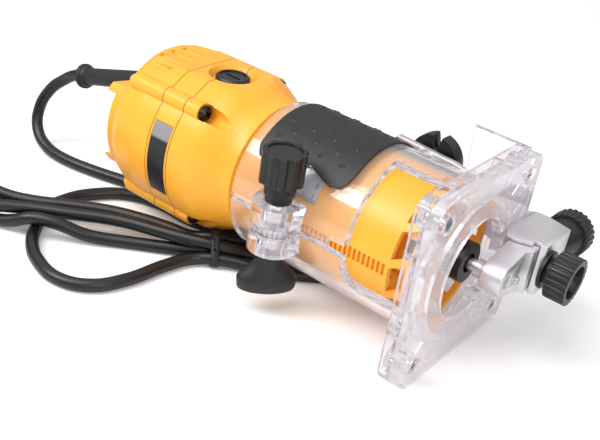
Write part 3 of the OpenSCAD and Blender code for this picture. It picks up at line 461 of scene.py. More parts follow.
@dataclass(frozen=True)
class ScaleFilm:
    """Anodised aluminium foil with ruled lines: one a millimetre, longer at each fifth and tenth.

    A row of lines has its step and its lines' length, in millimetres.
    """

    origin: float
    base: float
    name: str = "ruled_aluminium_foil"
    foil: str = "#d9dbdd"
    ink: str = "#26262a"
    line_mm: float = 0.32
    rows: tuple[Flat, ...] = ((1.0, 1.6), (5.0, 2.6), (10.0, 3.6))
    roughness: float = 0.3
    brushing: float = 900.0
    brush_depth: float = 0.02

    def ticks(self, tree: Tree, parts: bpy.types.Node, row: Flat) -> Link:
        """Adds the mask of one set of lines.

        Args:
            tree: the material's tree.
            parts: the node that splits the place into X, Y and Z.
            row: distance from line to line, and their length.

        Returns:
            The output that is one on a line.
        """
        step_mm, long_mm = row
        along = add_maths(tree, "SUBTRACT", (parts, "X"), self.origin)
        wrap = add_maths(tree, "PINGPONG", along, step_mm * MM / 2)
        near = add_maths(tree, "LESS_THAN", wrap, self.line_mm * MM / 2)
        low = add_maths(tree, "LESS_THAN", (parts, "Z"), self.base + long_mm * MM)
        return add_maths(tree, "MULTIPLY", near, low)

    def build(self) -> Material:
        """Builds the material.

        Returns:
            The material.
        """
        material, tree = new_material(self.name)
        place = add_place(tree)
        parts = add_split(tree, place)
        lines = self.ticks(tree, parts, self.rows[0])
        for row in self.rows[1:]:
            lines = add_maths(tree, "MAXIMUM", lines, self.ticks(tree, parts, row))
        colour = add_blend(tree, lines, self.foil, self.ink)
        brushed = add_noise(tree, place, self.brushing, detail=2.0)
        bump = add_bump(tree, brushed, 0.2, self.brush_depth)
        shader = add_node(tree, "ShaderNodeBsdfPrincipled", {},
                          {"Metallic": 0.35, "Roughness": self.roughness},
                          {"Base Color": colour, "Normal": bump})
        end_material(tree, shader)
        return material


# Glass-filled nylon, moulded and lightly sparked: a satin orange with a grain as fine as sand
# Its two seam lines are painted dark: dust in the joints and painted shade in their gaps
ORANGE_NYLON = Finish("moulded_orange_nylon", "#fbb336", "#f7a526", 0.36, tone_mm=60,
                      relief_mm=0.45, relief_depth=0.012, edge_mm=0.5, seams_mm=(-160.5, -146.5))
# ABS, moulded: black that greys a little where light grazes its fine grain
BLACK_ABS = Finish("moulded_black_abs", "#111116", "#0c0c11", 0.38, edge_mm=0.35)
# Thermoplastic rubber, moulded over the clear sleeve: dull, slightly grey
SOFT_RUBBER = Finish("overmoulded_black_rubber", "#18181f", "#121218", 0.5, relief_mm=0.6,
                     relief_depth=0.03, edge_mm=0.3)
# Polyvinyl chloride, extruded round the cores: smooth black with long highlights
CORD_SHEATH = Finish("extruded_black_pvc", "#0d0d10", "#131317", 0.38, relief_mm=2.5,
                     relief_depth=0.03, edge_mm=0.2)
# Zinc alloy, die cast and tumbled: satin light grey with a fine skin
CAST_ZINC = Finish("die_cast_zinc", "#e2dfe3", "#d3d0d4", 0.38, metallic=0.85, relief_mm=0.6,
                   relief_depth=0.03, edge_mm=0.6)
# Carbon steel, turned and nickel plated: bright, with fine rings from the tool
TURNED_STEEL = Finish("turned_plated_steel", "#d4d4d6", "#c3c4c7", 0.24, metallic=1.0,
                      pattern=Pattern.TURNED, relief_depth=0.006, edge_mm=0.25)
# Carbon steel, headed and blacked in hot oxide: near black with a dull sheen
BLACK_OXIDE = Finish("black_oxide_steel", "#39383b", "#2a292c", 0.33, metallic=0.9, relief_mm=0.4,
                     relief_depth=0.01, edge_mm=0.25)
# Silicon steel sheets, punched and stacked: the edges show as bands under a millimetre wide
CORE_STEEL = Finish("stacked_core_steel", "#6d6c6e", "#59585a", 0.45, metallic=0.9,
                    pattern=Pattern.STACKED, relief_mm=0.7, relief_depth=0.05, edge_mm=0.2)
# Copper wire, enamelled and wound: bands of wire a little under a millimetre apart
ENAMELLED_COPPER = Finish("enamelled_copper_wire", "#b4622c", "#8f4a20", 0.3, metallic=0.8,
                          pattern=Pattern.WOUND, relief_mm=0.8, relief_depth=0.2, edge_mm=0.2,
                          coat=0.5)
# Brass, pressed: brush holders and springs, commutator and plug pins
PRESSED_BRASS = Finish("pressed_brass", "#cfae62", "#bd9a50", 0.28, metallic=1.0, relief_mm=1.2,
                       relief_depth=0.01, edge_mm=0.25)
# Carbon, pressed and baked: soft dark grey
BAKED_CARBON = Finish("baked_carbon", "#3a3a3c", "#2d2d2f", 0.6, relief_mm=0.3,
                      relief_depth=0.03, edge_mm=0.2)
# Glass-filled nylon of the fan, moulded: matt grey
FAN_NYLON = Finish("moulded_grey_nylon", "#57585c", "#4c4d51", 0.5, edge_mm=0.3)


def add_object(name: str, data: bpy.types.ID) -> Piece:
    """Puts a mesh, curve, lamp or camera in the scene under a name.

    Args:
        name: the object's name.
        data: what it shows.

    Returns:
        The object, at the origin.
    """
    piece = bpy.data.objects.new(name, data)
    bpy.context.scene.collection.objects.link(piece)
    return piece


def mesh_of(piece: Piece) -> bpy.types.Mesh:
    """Gives the mesh that a piece shows, its modifiers and thickness done.

    Args:
        piece: the piece.

    Returns:
        A new mesh.
    """
    graph = bpy.context.evaluated_depsgraph_get()
    return bpy.data.meshes.new_from_object(piece.evaluated_get(graph))


def smooth_all(mesh: bpy.types.Mesh) -> None:
    """Marks each face of a mesh as smooth.

    Args:
        mesh: the mesh.
    """
    mesh.polygons.foreach_set("use_smooth", [True] * len(mesh.polygons))


def finish_mesh(name: str, shape: bmesh.types.BMesh, smooth_under: float = 40.0) -> Piece:
    """Turns a bmesh to an object with its faces outwards and its round faces smooth.

    Args:
        name: the object's name.
        shape: the bmesh, which is freed.
        smooth_under: edges that turn less than this many degrees are shaded smooth.

    Returns:
        The object.
    """
    bmesh.ops.remove_doubles(shape, verts=shape.verts, dist=WELD)
    bmesh.ops.recalc_face_normals(shape, faces=shape.faces)
    mesh = bpy.data.meshes.new(name)
    shape.to_mesh(mesh)
    shape.free()
    smooth_all(mesh)
    mesh.set_sharp_from_angle(angle=math.radians(smooth_under))
    return add_object(name, mesh)


def bake_modifiers(piece: Piece) -> None:
    """Applies a piece's modifiers to its mesh.

    Args:
        piece: the piece.
    """
    mesh = mesh_of(piece)
    piece.modifiers.clear()
    piece.data = mesh


def merged_copy(node: str, name: str) -> bmesh.types.BMesh:
    """Copies a node's mesh with its doubled corners merged.

    Args:
        node: the node's name.
        name: what the copy is for, for the log.

    Returns:
        The copy.
    """
    shape = bmesh.new()
    shape.from_mesh(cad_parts[node].data)
    bmesh.ops.remove_doubles(shape, verts=shape.verts, dist=MERGE)
    log.info("%s copies %s: %d faces", name, node, len(shape.faces))
    return shape


def softened(node: str, name: str, voxel_mm: float, rounds: int) -> Piece:
    """Makes a soft-edged moulding of a node: remeshed evenly, then relaxed.

    Args:
        node: the node that it is made from.
        name: the new piece's name.
        voxel_mm: size of the new mesh's faces.
        rounds: how often the surface is relaxed.

    Returns:
        The piece.
    """
    piece = finish_mesh(name, merged_copy(node, name), smooth_under=180)
    remesh = piece.modifiers.new("even", "REMESH")
    remesh.mode = "VOXEL"
    remesh.voxel_size = voxel_mm * MM
    relax = piece.modifiers.new("relax", "SMOOTH")
    relax.factor = 0.5
    relax.iterations = rounds
    bake_modifiers(piece)
    smooth_all(piece.data)
    return piece


def broken_edges(node: str, name: str, width_mm: float, segments: int = 2,
                 sharp_over: float = 35.0, strip_mm: float = 0.3) -> Piece:
    """Makes a copy of a node with its sharp outer edges rounded, other than of narrow strips.

    Args:
        node: the node that it is made from.
        name: the new piece's name.
        width_mm: width of the rounding.
        segments: faces across it.
        sharp_over: edges that turn more than this many degrees are rounded.
        strip_mm: a face with less area than this for each unit of its rim is a narrow strip.

    Returns:
        The piece.
    """
    shape = merged_copy(node, name)
    bmesh.ops.dissolve_limit(shape, angle_limit=math.radians(0.5), verts=shape.verts,
                             edges=shape.edges)
    strips = {f for f in shape.faces
              if len(f.verts) > 4 and f.calc_area() < strip_mm * MM * f.calc_perimeter()}
    sharp = [e for e in shape.edges if len(e.link_faces) == 2 and e.is_convex
             and e.calc_face_angle() > math.radians(sharp_over)
             and not strips.intersection(e.link_faces)]
    bmesh.ops.bevel(shape, geom=sharp, offset=width_mm * MM, offset_type="OFFSET", affect="EDGES",
                    segments=segments, profile=0.5, material=-1, clamp_overlap=True)
    return finish_mesh(name, shape, smooth_under=35)


def spun(outline: Sequence[Flat], steps: int) -> bmesh.types.BMesh:
    """Spins an outline about the Z axis.

    Args:
        outline: radius and height of its corners, in millimetres.
        steps: faces round the axis.

    Returns:
        The spun shape, about Z at the origin.
    """
    shape = bmesh.new()
    corners = [shape.verts.new((r * MM, 0, z * MM)) for r, z in outline]
    edges = [shape.edges.new(pair) for pair in zip(corners, corners[1:])]
    bmesh.ops.spin(shape, geom=corners + edges, cent=(0, 0, 0), axis=(0, 0, 1), angle=math.tau,
                   steps=steps, use_merge=True)
    bmesh.ops.remove_doubles(shape, verts=shape.verts, dist=MERGE)
    return shape


def place(piece: Piece, body: str, slot: Slot, material: Material,
          nodes: Sequence[str] = ()) -> None:
    """Gives a new piece its body, finish and the nodes that it stands for.

    Args:
        piece: the piece.
        body: the body that it rides on.
        slot: the record's material slot; not used.
        material: its material.
        nodes: the nodes that it replaces.
    """
    piece.data.materials.clear()
    piece.data.materials.append(material)
    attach(piece, body)
    if nodes:
        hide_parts(*nodes)
    log.info("%s rides on %s", piece.name, body)


@dataclass
class Camera:
    """The photograph's view: turned about the router, tilted down and rolled.

    Angles are degrees, lengths metres, and the lens and the sensor millimetres.
    """

    azimuth: float = 34.03
    elevation: float = 29.49
    roll: float = 9.39
    distance: float = 0.4756
    target: Point = (-0.09342, 0.0, -0.0193)
    lens: float = 58.33
    sensor: float = 36.0
    near: float = 0.01

    def build(self) -> None:
        """Makes the camera and makes it the scene's own."""
        turn, tilt = math.radians(self.azimuth), math.radians(self.elevation)
        flat = math.cos(tilt)
        away = Vector((flat * math.sin(turn), -flat * math.cos(turn), math.sin(tilt)))
        data = bpy.data.cameras.new("camera")
        data.lens = self.lens
        data.sensor_width = self.sensor
        data.clip_start = self.near
        camera = add_object("camera", data)
        facing = (-away).to_track_quat("-Z", "Y").to_matrix()
        camera.matrix_world = (
            Matrix.Translation(Vector(self.target) + away * self.distance)
            @ (facing @ Matrix.Rotation(math.radians(self.roll), 3, "Z")).to_4x4()
        )
        bpy.context.scene.camera = camera


@dataclass(frozen=True)
class Lamp:
    """A square soft lamp: where it hangs, how wide it is, its watts and what it points at."""

    name: str
    at: Point
    size: float
    power: float
    aim: Point = (-0.1, 0, 0)

    def build(self) -> None:
        """Hangs the lamp."""
        data = bpy.data.lights.new(self.name, "AREA")
        data.size = self.size
        data.energy = self.power
        lamp = add_object(self.name, data)
        facing = (Vector(self.aim) - Vector(self.at)).to_track_quat("-Z", "Y")
        lamp.matrix_world = Matrix.Translation(self.at) @ facing.to_matrix().to_4x4()


# The second lamp shows as the glare on the clear sleeve
LAMPS = (
    Lamp("key_lamp", (-0.25, -0.55, 1.15), 0.8, 8.0),
    Lamp("glare_lamp", (-0.68, -0.72, 0.8), 0.4, 6.0),
    Lamp("side_lamp", (0.95, -0.5, 0.55), 0.6, 4.0),
)


@dataclass
class Studio:
    """Plain pale floor, pale surround and three soft lamps."""

    floor_z: float = -0.045
    floor_half: float = 3.0
    floor_colour: str = "#f6f6f6"
    floor_glow: float = 0.12
    light: str = "#ffffff"
    surround: float = 0.62
    low_gloss: float = 0.3
    dark_below: float = 0.1
    white_above: float = 0.75

    def floor(self) -> None:
        """Lays the floor."""
        shape = bmesh.new()
        bmesh.ops.create_grid(shape, x_segments=2, y_segments=2, size=self.floor_half)
        bmesh.ops.translate(shape, vec=(0, 0, self.floor_z), verts=shape.verts)
        floor = finish_mesh("floor", shape)
        material, tree = new_material("matt_white_floor")
        path = add_node(tree, "ShaderNodeLightPath")
        shader = add_node(tree, "ShaderNodeBsdfDiffuse", {}, {"Color": linear(self.floor_colour)})
        glow = add_node(tree, "ShaderNodeEmission", {},
                        {"Color": linear(self.light), "Strength": self.floor_glow})
        seen = add_maths(tree, "MAXIMUM", (path, "Is Camera Ray"), (path, "Is Transmission Ray"))
        both = add_node(tree, "ShaderNodeAddShader", {}, {}, {0: (shader, 0), 1: (glow, 0)})
        mix = add_node(tree, "ShaderNodeMixShader", {}, {},
                       {0: seen, 1: (shader, 0), 2: (both, 0)})
        end_material(tree, mix)
        floor.data.materials.append(material)

    def world(self) -> None:
        """Makes the surround: white to the eye, darker low down in gloss and glass, soft light."""
        world = bpy.data.worlds.new("surround")
        world.use_nodes = True
        tree = world.node_tree
        tree.nodes.clear()
        path = add_node(tree, "ShaderNodeLightPath")
        sky = add_range(tree, (add_split(tree, add_place(tree)), "Z"),
                        (self.dark_below, self.white_above), (self.low_gloss, 1.0), "SMOOTHSTEP")
        mirrored = add_maths(tree, "MAXIMUM", (path, "Is Glossy Ray"),
                             (path, "Is Transmission Ray"))
        light = add_node(tree, "ShaderNodeMix", {"data_type": "FLOAT"}, {2: self.surround},
                         {0: mirrored, 3: sky})
        level = add_maths(tree, "MAXIMUM", (light, 0), (path, "Is Camera Ray"))
        back = add_node(tree, "ShaderNodeBackground", {}, {"Color": linear(self.light)},
                        {"Strength": level})
        add_node(tree, "ShaderNodeOutputWorld", {}, {}, {"Surface": (back, 0)})
        bpy.context.scene.world = world

    def build(self) -> None:
        """Builds the whole studio."""
        bpy.context.scene.view_settings.view_transform = "Standard"
        self.floor()
        self.world()
        for lamp in LAMPS:
            lamp.build()


@dataclass
class MainsCord:
    """The mains cord: out of its guard, through its loops and the tie, and into its coil.

    Lengths and places are millimetres, and angles degrees. A fold has the radius of its bend and
    where its two arms lie across it. The guard's root is measured from its start and its tip from
    its end, as radius and distance. An arc of the strap has its centre and its two angles.
    """

    radius: float = 3.2
    floor_z: float = -45.0
    guard_from: Point = (-190, -8, 20.2)
    guard_to: Point = (-244.2, -8, 3.9)
    guard_root: tuple[Flat, ...] = ((3.3, -7.5), (5.1, -7.5), (5.1, 0.0))
    guard_tip: tuple[Flat, ...] = (
        (4.6, -5.2), (5.5, -4.6), (5.8, -3.9), (5.8, -2.6), (6.3, -2.4), (6.75, -1.9),
        (6.75, -0.6), (6.3, -0.1), (5.4, 0.0), (3.9, 0.0), (3.3, -0.6))
    start_in: float = 1.5
    start_out: float = 7.0
    tie_at: Flat = (-123, -27)
    tie_dir: Flat = (-0.72, -0.694)
    tie_lane: float = 8.0
    tie_lift: float = 1.0
    tie_rise: float = 5.3
    bight_at: Flat = (-91, 29.5)
    bight_dir: Flat = (0.5, 0.866)
    outer_fold: Fold = (33, (23, 29.5), (23, 29))
    middle_fold: Fold = (26, (15, 21.5), (13, 20.5))
    inner_fold: Fold = (19, (6, 13.5), (4, 12))
    far_arm: Flat = (-46, -24)
    near_arm: Flat = (-24, -40)
    coil_at: Flat = (-276, -113)
    coil_r: float = 42.0
    coil_step: float = 7.4
    coil_from: float = 323.0
    coil_in: float = 750.0
    coil_climb: float = 195.0
    coil_slice: float = 15.0
    coil_gap: float = 0.5
    handle_share: float = 2.56
    strap_r: float = 3.5
    strap_t: float = 0.7
    strap_half: float = 2.0
    strap_edge: float = 0.3
    strap_slices: int = 6
    end_r: float = 0.55
    end_rise: float = 4.0
    end_from: float = 4.0
    end_long: float = 9.0
    end_twist: float = 0.6
    end_turns: float = 2.0
    end_drop: float = 0.2
    end_slices: int = 32
    lead: tuple[Point, ...] = (
        (-260, -8.5, -4), (-269, -11, -13), (-273, -15, -25), (-269, -19, -35), (-256, -22, -41),
        (-240, -22, -41.8), (-220, -18, -41.8), (-200, -12, -41.8), (-175, -6, -41.8),
        (-152, -4, -41.8))
    side_loop: tuple[Point, ...] = (
        (-125, -40, -41.6), (-129, -54, -41.8), (-132, -78, -41.8), (-139, -93, -41.8),
        (-152, -100, -41.8), (-168, -98, -41.8), (-182, -91, -41.8), (-194, -79, -41.8),
        (-203, -67, -41.8), (-206, -52, -41.8), (-201, -34, -41.8), (-190, -21, -41.8),
        (-172, -15, -41.8), (-150, -14, -41.8), (-137, -9, -41.8))
    near_run: tuple[Point, ...] = (
        (-134, -38, -34.9), (-146, -43, -34.9), (-166, -52, -34.9), (-186, -67, -34.9),
        (-202, -80, -34.6), (-213, -92, -34.4), (-221, -104, -36.2), (-229, -117, -39.6),
        (-236, -129, -41.6))
    return_run: tuple[Point, ...] = (
        (-250, -79, -36.5), (-240, -84.5, -40), (-229, -89, -41.8), (-219, -91, -41.8),
        (-210, -90, -41.4), (-201, -87, -38.9), (-193, -83, -35.2), (-184, -77.5, -35.2),
        (-170, -66, -40.8), (-154, -53, -41.8), (-137, -40, -41.6))
    exit_run: tuple[Point, ...] = (
        (-135, -30, -37.6), (-148, -35, -36.6), (-160, -41, -35.4), (-175, -49, -34.9),
        (-190, -60, -34.9), (-206, -73, -34.9), (-217, -79.5, -34.3), (-228, -85, -31.5),
        (-239, -91, -27.6), (-247, -95.5, -23.6), (-255.6, -100.3, -21.4))

    @property
    def cord_z(self) -> float:
        """Height of the cord's centre on the floor."""
        return self.floor_z + self.radius

    @property
    def guard_way(self) -> Vector:
        """The guard's direction, away from the router."""
        return (Vector(self.guard_to) - Vector(self.guard_from)).normalized()

    @property
    def start(self) -> Vector:
        """The cord's first point, just inside the guard's end."""
        return Vector(self.guard_to) - self.guard_way * self.start_in

    def lane(self, across: float, height: float) -> Point:
        """Gives a strand's place in the tie.

        Args:
            across: distance across the bundle.
            height: height over the floor strands.

        Returns:
            The place.
        """
        dx, dy = self.tie_dir
        return (self.tie_at[0] + dy * across, self.tie_at[1] - dx * across,
                self.cord_z + self.tie_lift + height)

    def bight(self, along: float, across: float) -> Point:
        """Gives a place among the folds beyond the tie.

        Args:
            along: distance along the folds from the centre of their bends.
            across: distance across them.

        Returns:
            The place.
        """
        dx, dy = self.bight_dir
        return (self.bight_at[0] + dx * along - dy * across,
                self.bight_at[1] + dy * along + dx * across, self.cord_z)

    def fold(self, radius: float, far: Flat, near: Flat) -> list[Point]:
        """Gives one fold, from its far arm to its near arm.

        Args:
            radius: radius of its bend.
            far: places across the fold of the far arm.
            near: places across the fold of the near arm.

        Returns:
            The points.
        """
        angles = [math.radians(a) for a in (-90, -45, 0, 45, 90)]
        bend = [self.bight(radius * math.cos(a), -radius * math.sin(a)) for a in angles]
        out = [self.bight(along, across) for along, across in zip(self.far_arm, far)]
        back = [self.bight(along, -across) for along, across in zip(self.near_arm, near[::-1])]
        return out + bend + back

    def coil(self) -> list[Point]:
        """Gives the coil: clockwise in two layers, inwards, climbing half a turn, and outwards.

        Returns:
            The points.
        """
        turn = 2 * self.coil_in + self.coil_climb
        points = []
        for i in range(int(turn / self.coil_slice) + 1):
            a = self.coil_slice * i
            r = self.coil_r - self.coil_step / 360 * min(self.coil_in, a, turn - a)
            rise = min(1.0, max(0.0, (a - self.coil_in) / self.coil_climb))
            way = math.radians(self.coil_from - a)
            points.append((self.coil_at[0] + r * math.cos(way), self.coil_at[1] + r * math.sin(way),
                           self.cord_z + (2 * self.radius + self.coil_gap) * rise))
        return points

    def route(self) -> list[Point]:
        """Gives the whole route, from the guard to the plug.

        Returns:
            The points.
        """
        first = Vector(self.guard_to) + self.guard_way * self.start_out
        top, lane = self.tie_rise, self.tie_lane
        return [
            tuple(self.start), tuple(first), *self.lead,
            *self.fold(*self.outer_fold), self.lane(-lane, 0), *self.side_loop,
            *self.fold(*self.middle_fold), self.lane(-lane / 2, top), *self.near_run,
            *self.coil(), *self.return_run, self.lane(0, 0),
            *self.fold(*self.inner_fold)[::-1], self.lane(lane / 2, top), *self.exit_run,
        ]

    def handles(self, spots: list[Vector], i: int) -> tuple[Vector, Vector]:
        """Gives a point's two handles, which keep the cord over the floor between points.

        Args:
            spots: the route's points in metres.
            i: the point's number.

        Returns:
            The handle before the point and the one after it.
        """
        back = spots[i] - spots[max(i - 1, 0)]
        ahead = spots[min(i + 1, len(spots) - 1)] - spots[i]
        way = (back.normalized() + ahead.normalized()).normalized()
        pair = (spots[i] - way * back.length / self.handle_share,
                spots[i] + way * ahead.length / self.handle_share)
        for handle in pair:
            handle.z = max(handle.z, self.cord_z * MM)
        return pair

    def sheath(self, material: Material) -> Piece:
        """Makes the cord itself, one round curve through its route.

        Args:
            material: its material.

        Returns:
            The cord.
        """
        spots = [Vector(at) * MM for at in self.route()]
        data = bpy.data.curves.new("mains_cord", "CURVE")
        data.dimensions = "3D"
        data.bevel_depth = self.radius * MM
        data.bevel_resolution = 5
        data.resolution_u = 6
        data.use_fill_caps = True
        line = data.splines.new("BEZIER")
        line.bezier_points.add(len(spots) - 1)
        for i, knot in enumerate(line.bezier_points):
            knot.co = spots[i]
            knot.handle_left_type = knot.handle_right_type = "FREE"
            knot.handle_left, knot.handle_right = self.handles(spots, i)
        cord = add_object("mains_cord", data)
        data.materials.append(material)
        return cord

    def guard(self) -> Piece:
        """Makes the bend guard: a smooth tapered sleeve that ends in a stepped collar.

        Returns:
            The guard.
        """
        a, b = Vector(self.guard_from) * MM, Vector(self.guard_to) * MM
        long = (b - a).length / MM
        tip = [(r, long + z) for r, z in self.guard_tip]
        shape = spun([*self.guard_root, *tip, self.guard_root[0]], 48)
        turn = (b - a).to_track_quat("Z", "Y").to_matrix()
        bmesh.ops.rotate(shape, verts=shape.verts, matrix=turn, cent=(0, 0, 0))
        bmesh.ops.translate(shape, verts=shape.verts, vec=a)
        return finish_mesh("cord_sleeve", shape, smooth_under=50)

    def strap(self) -> Piece:
        """Makes the tie's flat strap round the bundle.

        Returns:
            The strap.
        """
        lane, rise = self.tie_lane, self.tie_rise
        arcs = (((-lane, 0.0), 125, 270), ((0.0, 0.0), 270, 395),
                ((lane / 2, rise), 35, 90), ((-lane / 2, rise), 90, 125))
        line = []
        for (u, v), first, last in arcs:
            for i in range(self.strap_slices + 1):
                a = math.radians(first + (last - first) * i / self.strap_slices)
                line.append((u + self.strap_r * math.cos(a), v + self.strap_r * math.sin(a)))
        dx, dy = self.tie_dir
        along, across = Vector((dx, dy, 0)), Vector((dy, -dx, 0))
        middle = Vector((*self.tie_at, self.cord_z + self.tie_lift))
        shape = bmesh.new()
        edges = []
        for side in (-self.strap_half, self.strap_half):
            rim = [shape.verts.new((middle + across * u + along * side + Vector((0, 0, v))) * MM)
                   for u, v in line]
            edges += [shape.edges.new(pair) for pair in zip(rim, rim[1:] + rim[:1])]
        bmesh.ops.bridge_loops(shape, edges=edges)
        strap = finish_mesh("bundle_strap", shape, smooth_under=60)
        wall = strap.modifiers.new("wall", "SOLIDIFY")
        wall.thickness = self.strap_t * MM
        wall.offset = 1.0
        round_edge = strap.modifiers.new("edge", "BEVEL")
        round_edge.width = self.strap_edge * MM
        round_edge.segments = 2
        bake_modifiers(strap)
        return strap

    def twist(self, hand: int) -> Piece:
        """Makes one of the strap's two twisted ends, lying on the bundle.

        Args:
            hand: one or minus one, for its half of the twist.

        Returns:
            The end.
        """
        middle = Vector(self.lane(0, self.tie_rise + self.end_rise))
        dx, dy = self.tie_dir
        along, side = Vector((dy, -dx, 0)), Vector((dx, dy, 0))
        data = bpy.data.curves.new("strap_end", "CURVE")
        data.dimensions = "3D"
        data.bevel_depth = self.end_r * MM
        data.bevel_resolution = 3
        line = data.splines.new("POLY")
        line.points.add(self.end_slices)
        reach = self.end_twist * hand
        for i, knot in enumerate(line.points):
            a = math.tau * self.end_turns * i / self.end_slices
            out = self.end_long * i / self.end_slices
            lift = self.end_twist + reach * math.sin(a) - self.end_drop * out
            at = (middle - along * (self.end_from + out) + side * (reach * math.cos(a))
                  + Vector((0, 0, lift)))
            knot.co = (*(at * MM), 1)
        curve = add_object("strap_end", data)
        mesh = mesh_of(curve)
        bpy.data.objects.remove(curve)
        return add_object(f"strap_end_{'a' if hand > 0 else 'b'}", mesh)


@dataclass
class Wing:
    """The clamp's wing: a round stem that flares to a long oval foot with a crisp rim.

    A section has its distance down the stem and its two half widths, in millimetres.
    """

    node: str = "clamp_wing"
    sections: tuple[Point, ...] = (
        (0.0, 4.9, 4.9), (0.4, 5.4, 5.4), (3.0, 5.6, 5.5), (6.0, 6.6, 5.9), (9.0, 8.9, 6.3),
        (11.5, 11.4, 6.8), (13.4, 13.2, 7.2), (14.7, 14.0, 7.5), (15.0, 14.1, 7.55),
        (15.3, 14.1, 7.5), (19.6, 13.6, 7.0), (20.4, 13.2, 6.6), (20.7, 12.4, 5.8))
    turn: float = 50.0
    around: int = 64

    def build(self) -> Piece:
        """Makes the wing from oval rings, each bridged to the next.

        Returns:
            The wing.
        """
        low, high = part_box(self.node)
        top = Vector(((low[0] + high[0]) / 2, (low[1] + high[1]) / 2, high[2]))
        stretch = (high[2] - low[2]) / MM / self.sections[-1][0]
        turned = Matrix.Rotation(math.radians(self.turn), 3, "Z")
        shape = bmesh.new()
        rims: list[list[bmesh.types.BMEdge]] = []
        for down, half_long, half_wide in self.sections:
            ring = bmesh.ops.create_circle(shape, segments=self.around, radius=1.0)["verts"]
            bmesh.ops.scale(shape, vec=(half_long * MM, half_wide * MM, 1), verts=ring)
            bmesh.ops.translate(shape, vec=(0, 0, -down * stretch * MM), verts=ring)
            rims.append(list({edge for corner in ring for edge in corner.link_edges}))
        for upper, lower in zip(rims, rims[1:]):
            bmesh.ops.bridge_loops(shape, edges=upper + lower)
        for rim in (rims[0], rims[-1]):
            bmesh.ops.contextual_create(shape, geom=rim)
        bmesh.ops.rotate(shape, cent=(0, 0, 0), matrix=turned, verts=shape.verts)
        bmesh.ops.translate(shape, vec=top, verts=shape.verts)
        return finish_mesh("wing_grip", shape, smooth_under=35)


@dataclass
class Scale:
    """The depth scale's numbers, one each ten lines, in millimetres and degrees."""

    first_x: float
    barrel_r: float = 32.5
    texts: tuple[str, ...] = ("0", "10")
    step: float = -10.0
    size: float = 3.24
    lift: float = 0.12
    angle: float = 35.0

    def number(self, i: int) -> Piece:
        """Makes one number, laid on the barrel.

        Args:
            i: its place in the row.

        Returns:
            The number.
        """
        text = self.texts[i]
        data = bpy.data.curves.new("number", "FONT")
        data.body = text
        data.size = self.size * MM
        data.align_x = "CENTER"
        data.align_y = "CENTER"
        source = add_object("number", data)
        mesh = mesh_of(source)
        bpy.data.objects.remove(source)
        at_x = (self.first_x + self.step * i) * MM
        r = (self.barrel_r + self.lift) * MM
        for corner in mesh.vertices:
            turn = math.radians(self.angle) + corner.co.y / (self.barrel_r * MM)
            corner.co = (at_x + corner.co.x, -r * math.cos(turn), r * math.sin(turn))
        return add_object(f"scale_number_{text}", mesh)


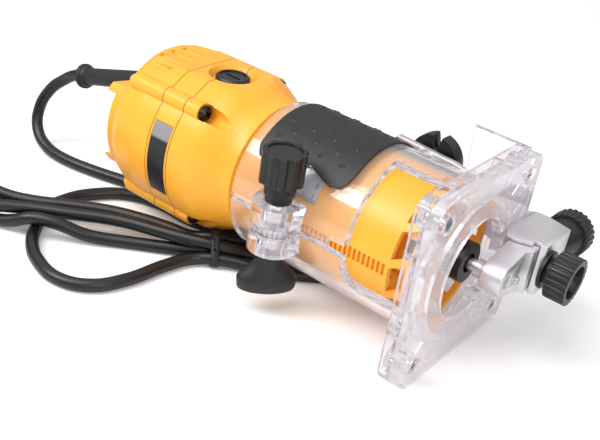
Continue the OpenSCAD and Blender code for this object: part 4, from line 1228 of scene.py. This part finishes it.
class Router:
    """The whole router: its finishes, and the pieces made for it."""

    grey_share = 0.78
    scale_inset = 2.5

    def __init__(self) -> None:
        """Builds the finishes that are used more than once, and finds where the scale starts."""
        self.abs = BLACK_ABS.build()
        self.rubber = SOFT_RUBBER.build()
        self.zinc = CAST_ZINC.build()
        self.carbon = BAKED_CARBON.build()
        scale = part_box("depth_scale")
        self.scale_from = scale[1][0] - self.scale_inset * MM
        self.scale_base = scale[0][2]

    def cords(self) -> None:
        """Makes the cord, its guard and its tie."""
        cord = MainsCord()
        sheath = cord.sheath(CORD_SHEATH.build())
        bpy.context.view_layer.update()
        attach(sheath, "motor")
        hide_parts("power_cord", "cord_coil")
        strap = cord.strap()
        place(strap, "motor", Slot.RUBBER, self.rubber, ["cord_tie"])
        ends = [cord.twist(hand) for hand in (1, -1)]
        for end in ends:
            place(end, "motor", Slot.RUBBER, self.rubber)
        place(cord.guard(), "motor", Slot.RUBBER, self.rubber, ["cord_guard"])
        plug = broken_edges("plug_body", "moulded_plug", 0.8, 3)
        place(plug, "motor", Slot.BLACK, self.abs, ["plug_body"])

    def nodes(self) -> None:
        """Gives each node that stays its material."""
        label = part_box("rating_label")
        grey_from = label[0][2] + (label[1][2] - label[0][2]) * self.grey_share
        hazed = ClearPlastic("moulded_hazed_polycarbonate", haze=0.16, roughness=0.06)
        finishes: dict[str, Material] = {
            "motor_housing mid_ring rear_cover": ORANGE_NYLON.build(),
            "clear_base": ClearPlastic().build(),
            "sub_base": hazed.build(),
            "brush_caps switch_body switch_rocker cord_clamp": self.abs,
            "fan": FAN_NYLON.build(),
            "housing_screws guide_roller": BLACK_OXIDE.build(),
            "spindle collet collet_nut front_bearing rear_bearing sub_base_screws pinion_shaft "
            "clamp_washer guide_bolt guide_washer roller_pin adjust_screw guide_clamp_screw "
            "arm_screw": TURNED_STEEL.build(),
            "stator_core rotor_core": CORE_STEEL.build(),
            "stator_coils rotor_windings": ENAMELLED_COPPER.build(),
            "commutator brush_holders brush_springs plug_pins": PRESSED_BRASS.build(),
            "carbon_brushes": self.carbon,
            "rating_label": LabelFilm(grey_from).build(),
            "depth_scale": ScaleFilm(self.scale_from, self.scale_base).build(),
        }
        for names, material in finishes.items():
            for name in names.split():
                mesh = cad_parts[name].data
                mesh.materials.clear()
                mesh.materials.append(material)

    def rubber_parts(self) -> None:
        """Makes the soft mouldings: the grip over the sleeve and the clamp's wing."""
        grip = softened("grip_pad", "rubber_grip", voxel_mm=0.36, rounds=2)
        place(grip, "base", Slot.RUBBER, self.rubber, ["grip_pad"])
        place(Wing().build(), "wing", Slot.RUBBER, self.rubber, ["clamp_wing"])

    def rounded_parts(self) -> None:
        """Makes the knobs and the guide's two castings, with rounded edges."""
        for node, name, body in (
            ("depth_knob", "depth_grip", "knob"),
            ("adjust_knob", "adjuster_grip", "adjuster"),
            ("guide_clamp_knob", "guide_clamp_grip", "guide_clamp"),
            ("guide_wing_nut", "guide_wing_grip", "guide_wing"),
        ):
            place(broken_edges(node, name, 0.4), body, Slot.BLACK, self.abs, [node])
        for node, name, body in (
            ("guide_bracket", "guide_casting", "bracket"),
            ("guide_arm", "arm_casting", "arm"),
        ):
            place(broken_edges(node, name, 0.5), body, Slot.ALLOY, self.zinc, [node])

    def numbers(self) -> None:
        """Prints the numbers on the scale."""
        scale = Scale(self.scale_from / MM)
        for i in range(len(scale.texts)):
            place(scale.number(i), "motor", Slot.BLACK, self.carbon)

    def build(self) -> None:
        """Builds the router's pieces, the cords first."""
        self.cords()
        self.nodes()
        self.rubber_parts()
        self.rounded_parts()
        self.numbers()


def main() -> None:
    """Builds the scene in order."""
    logging.basicConfig(level=logging.INFO, format="%(name)s: %(message)s")
    Camera().build()
    Router().build()
    Studio().build()


if __name__ == "__main__":
    main()
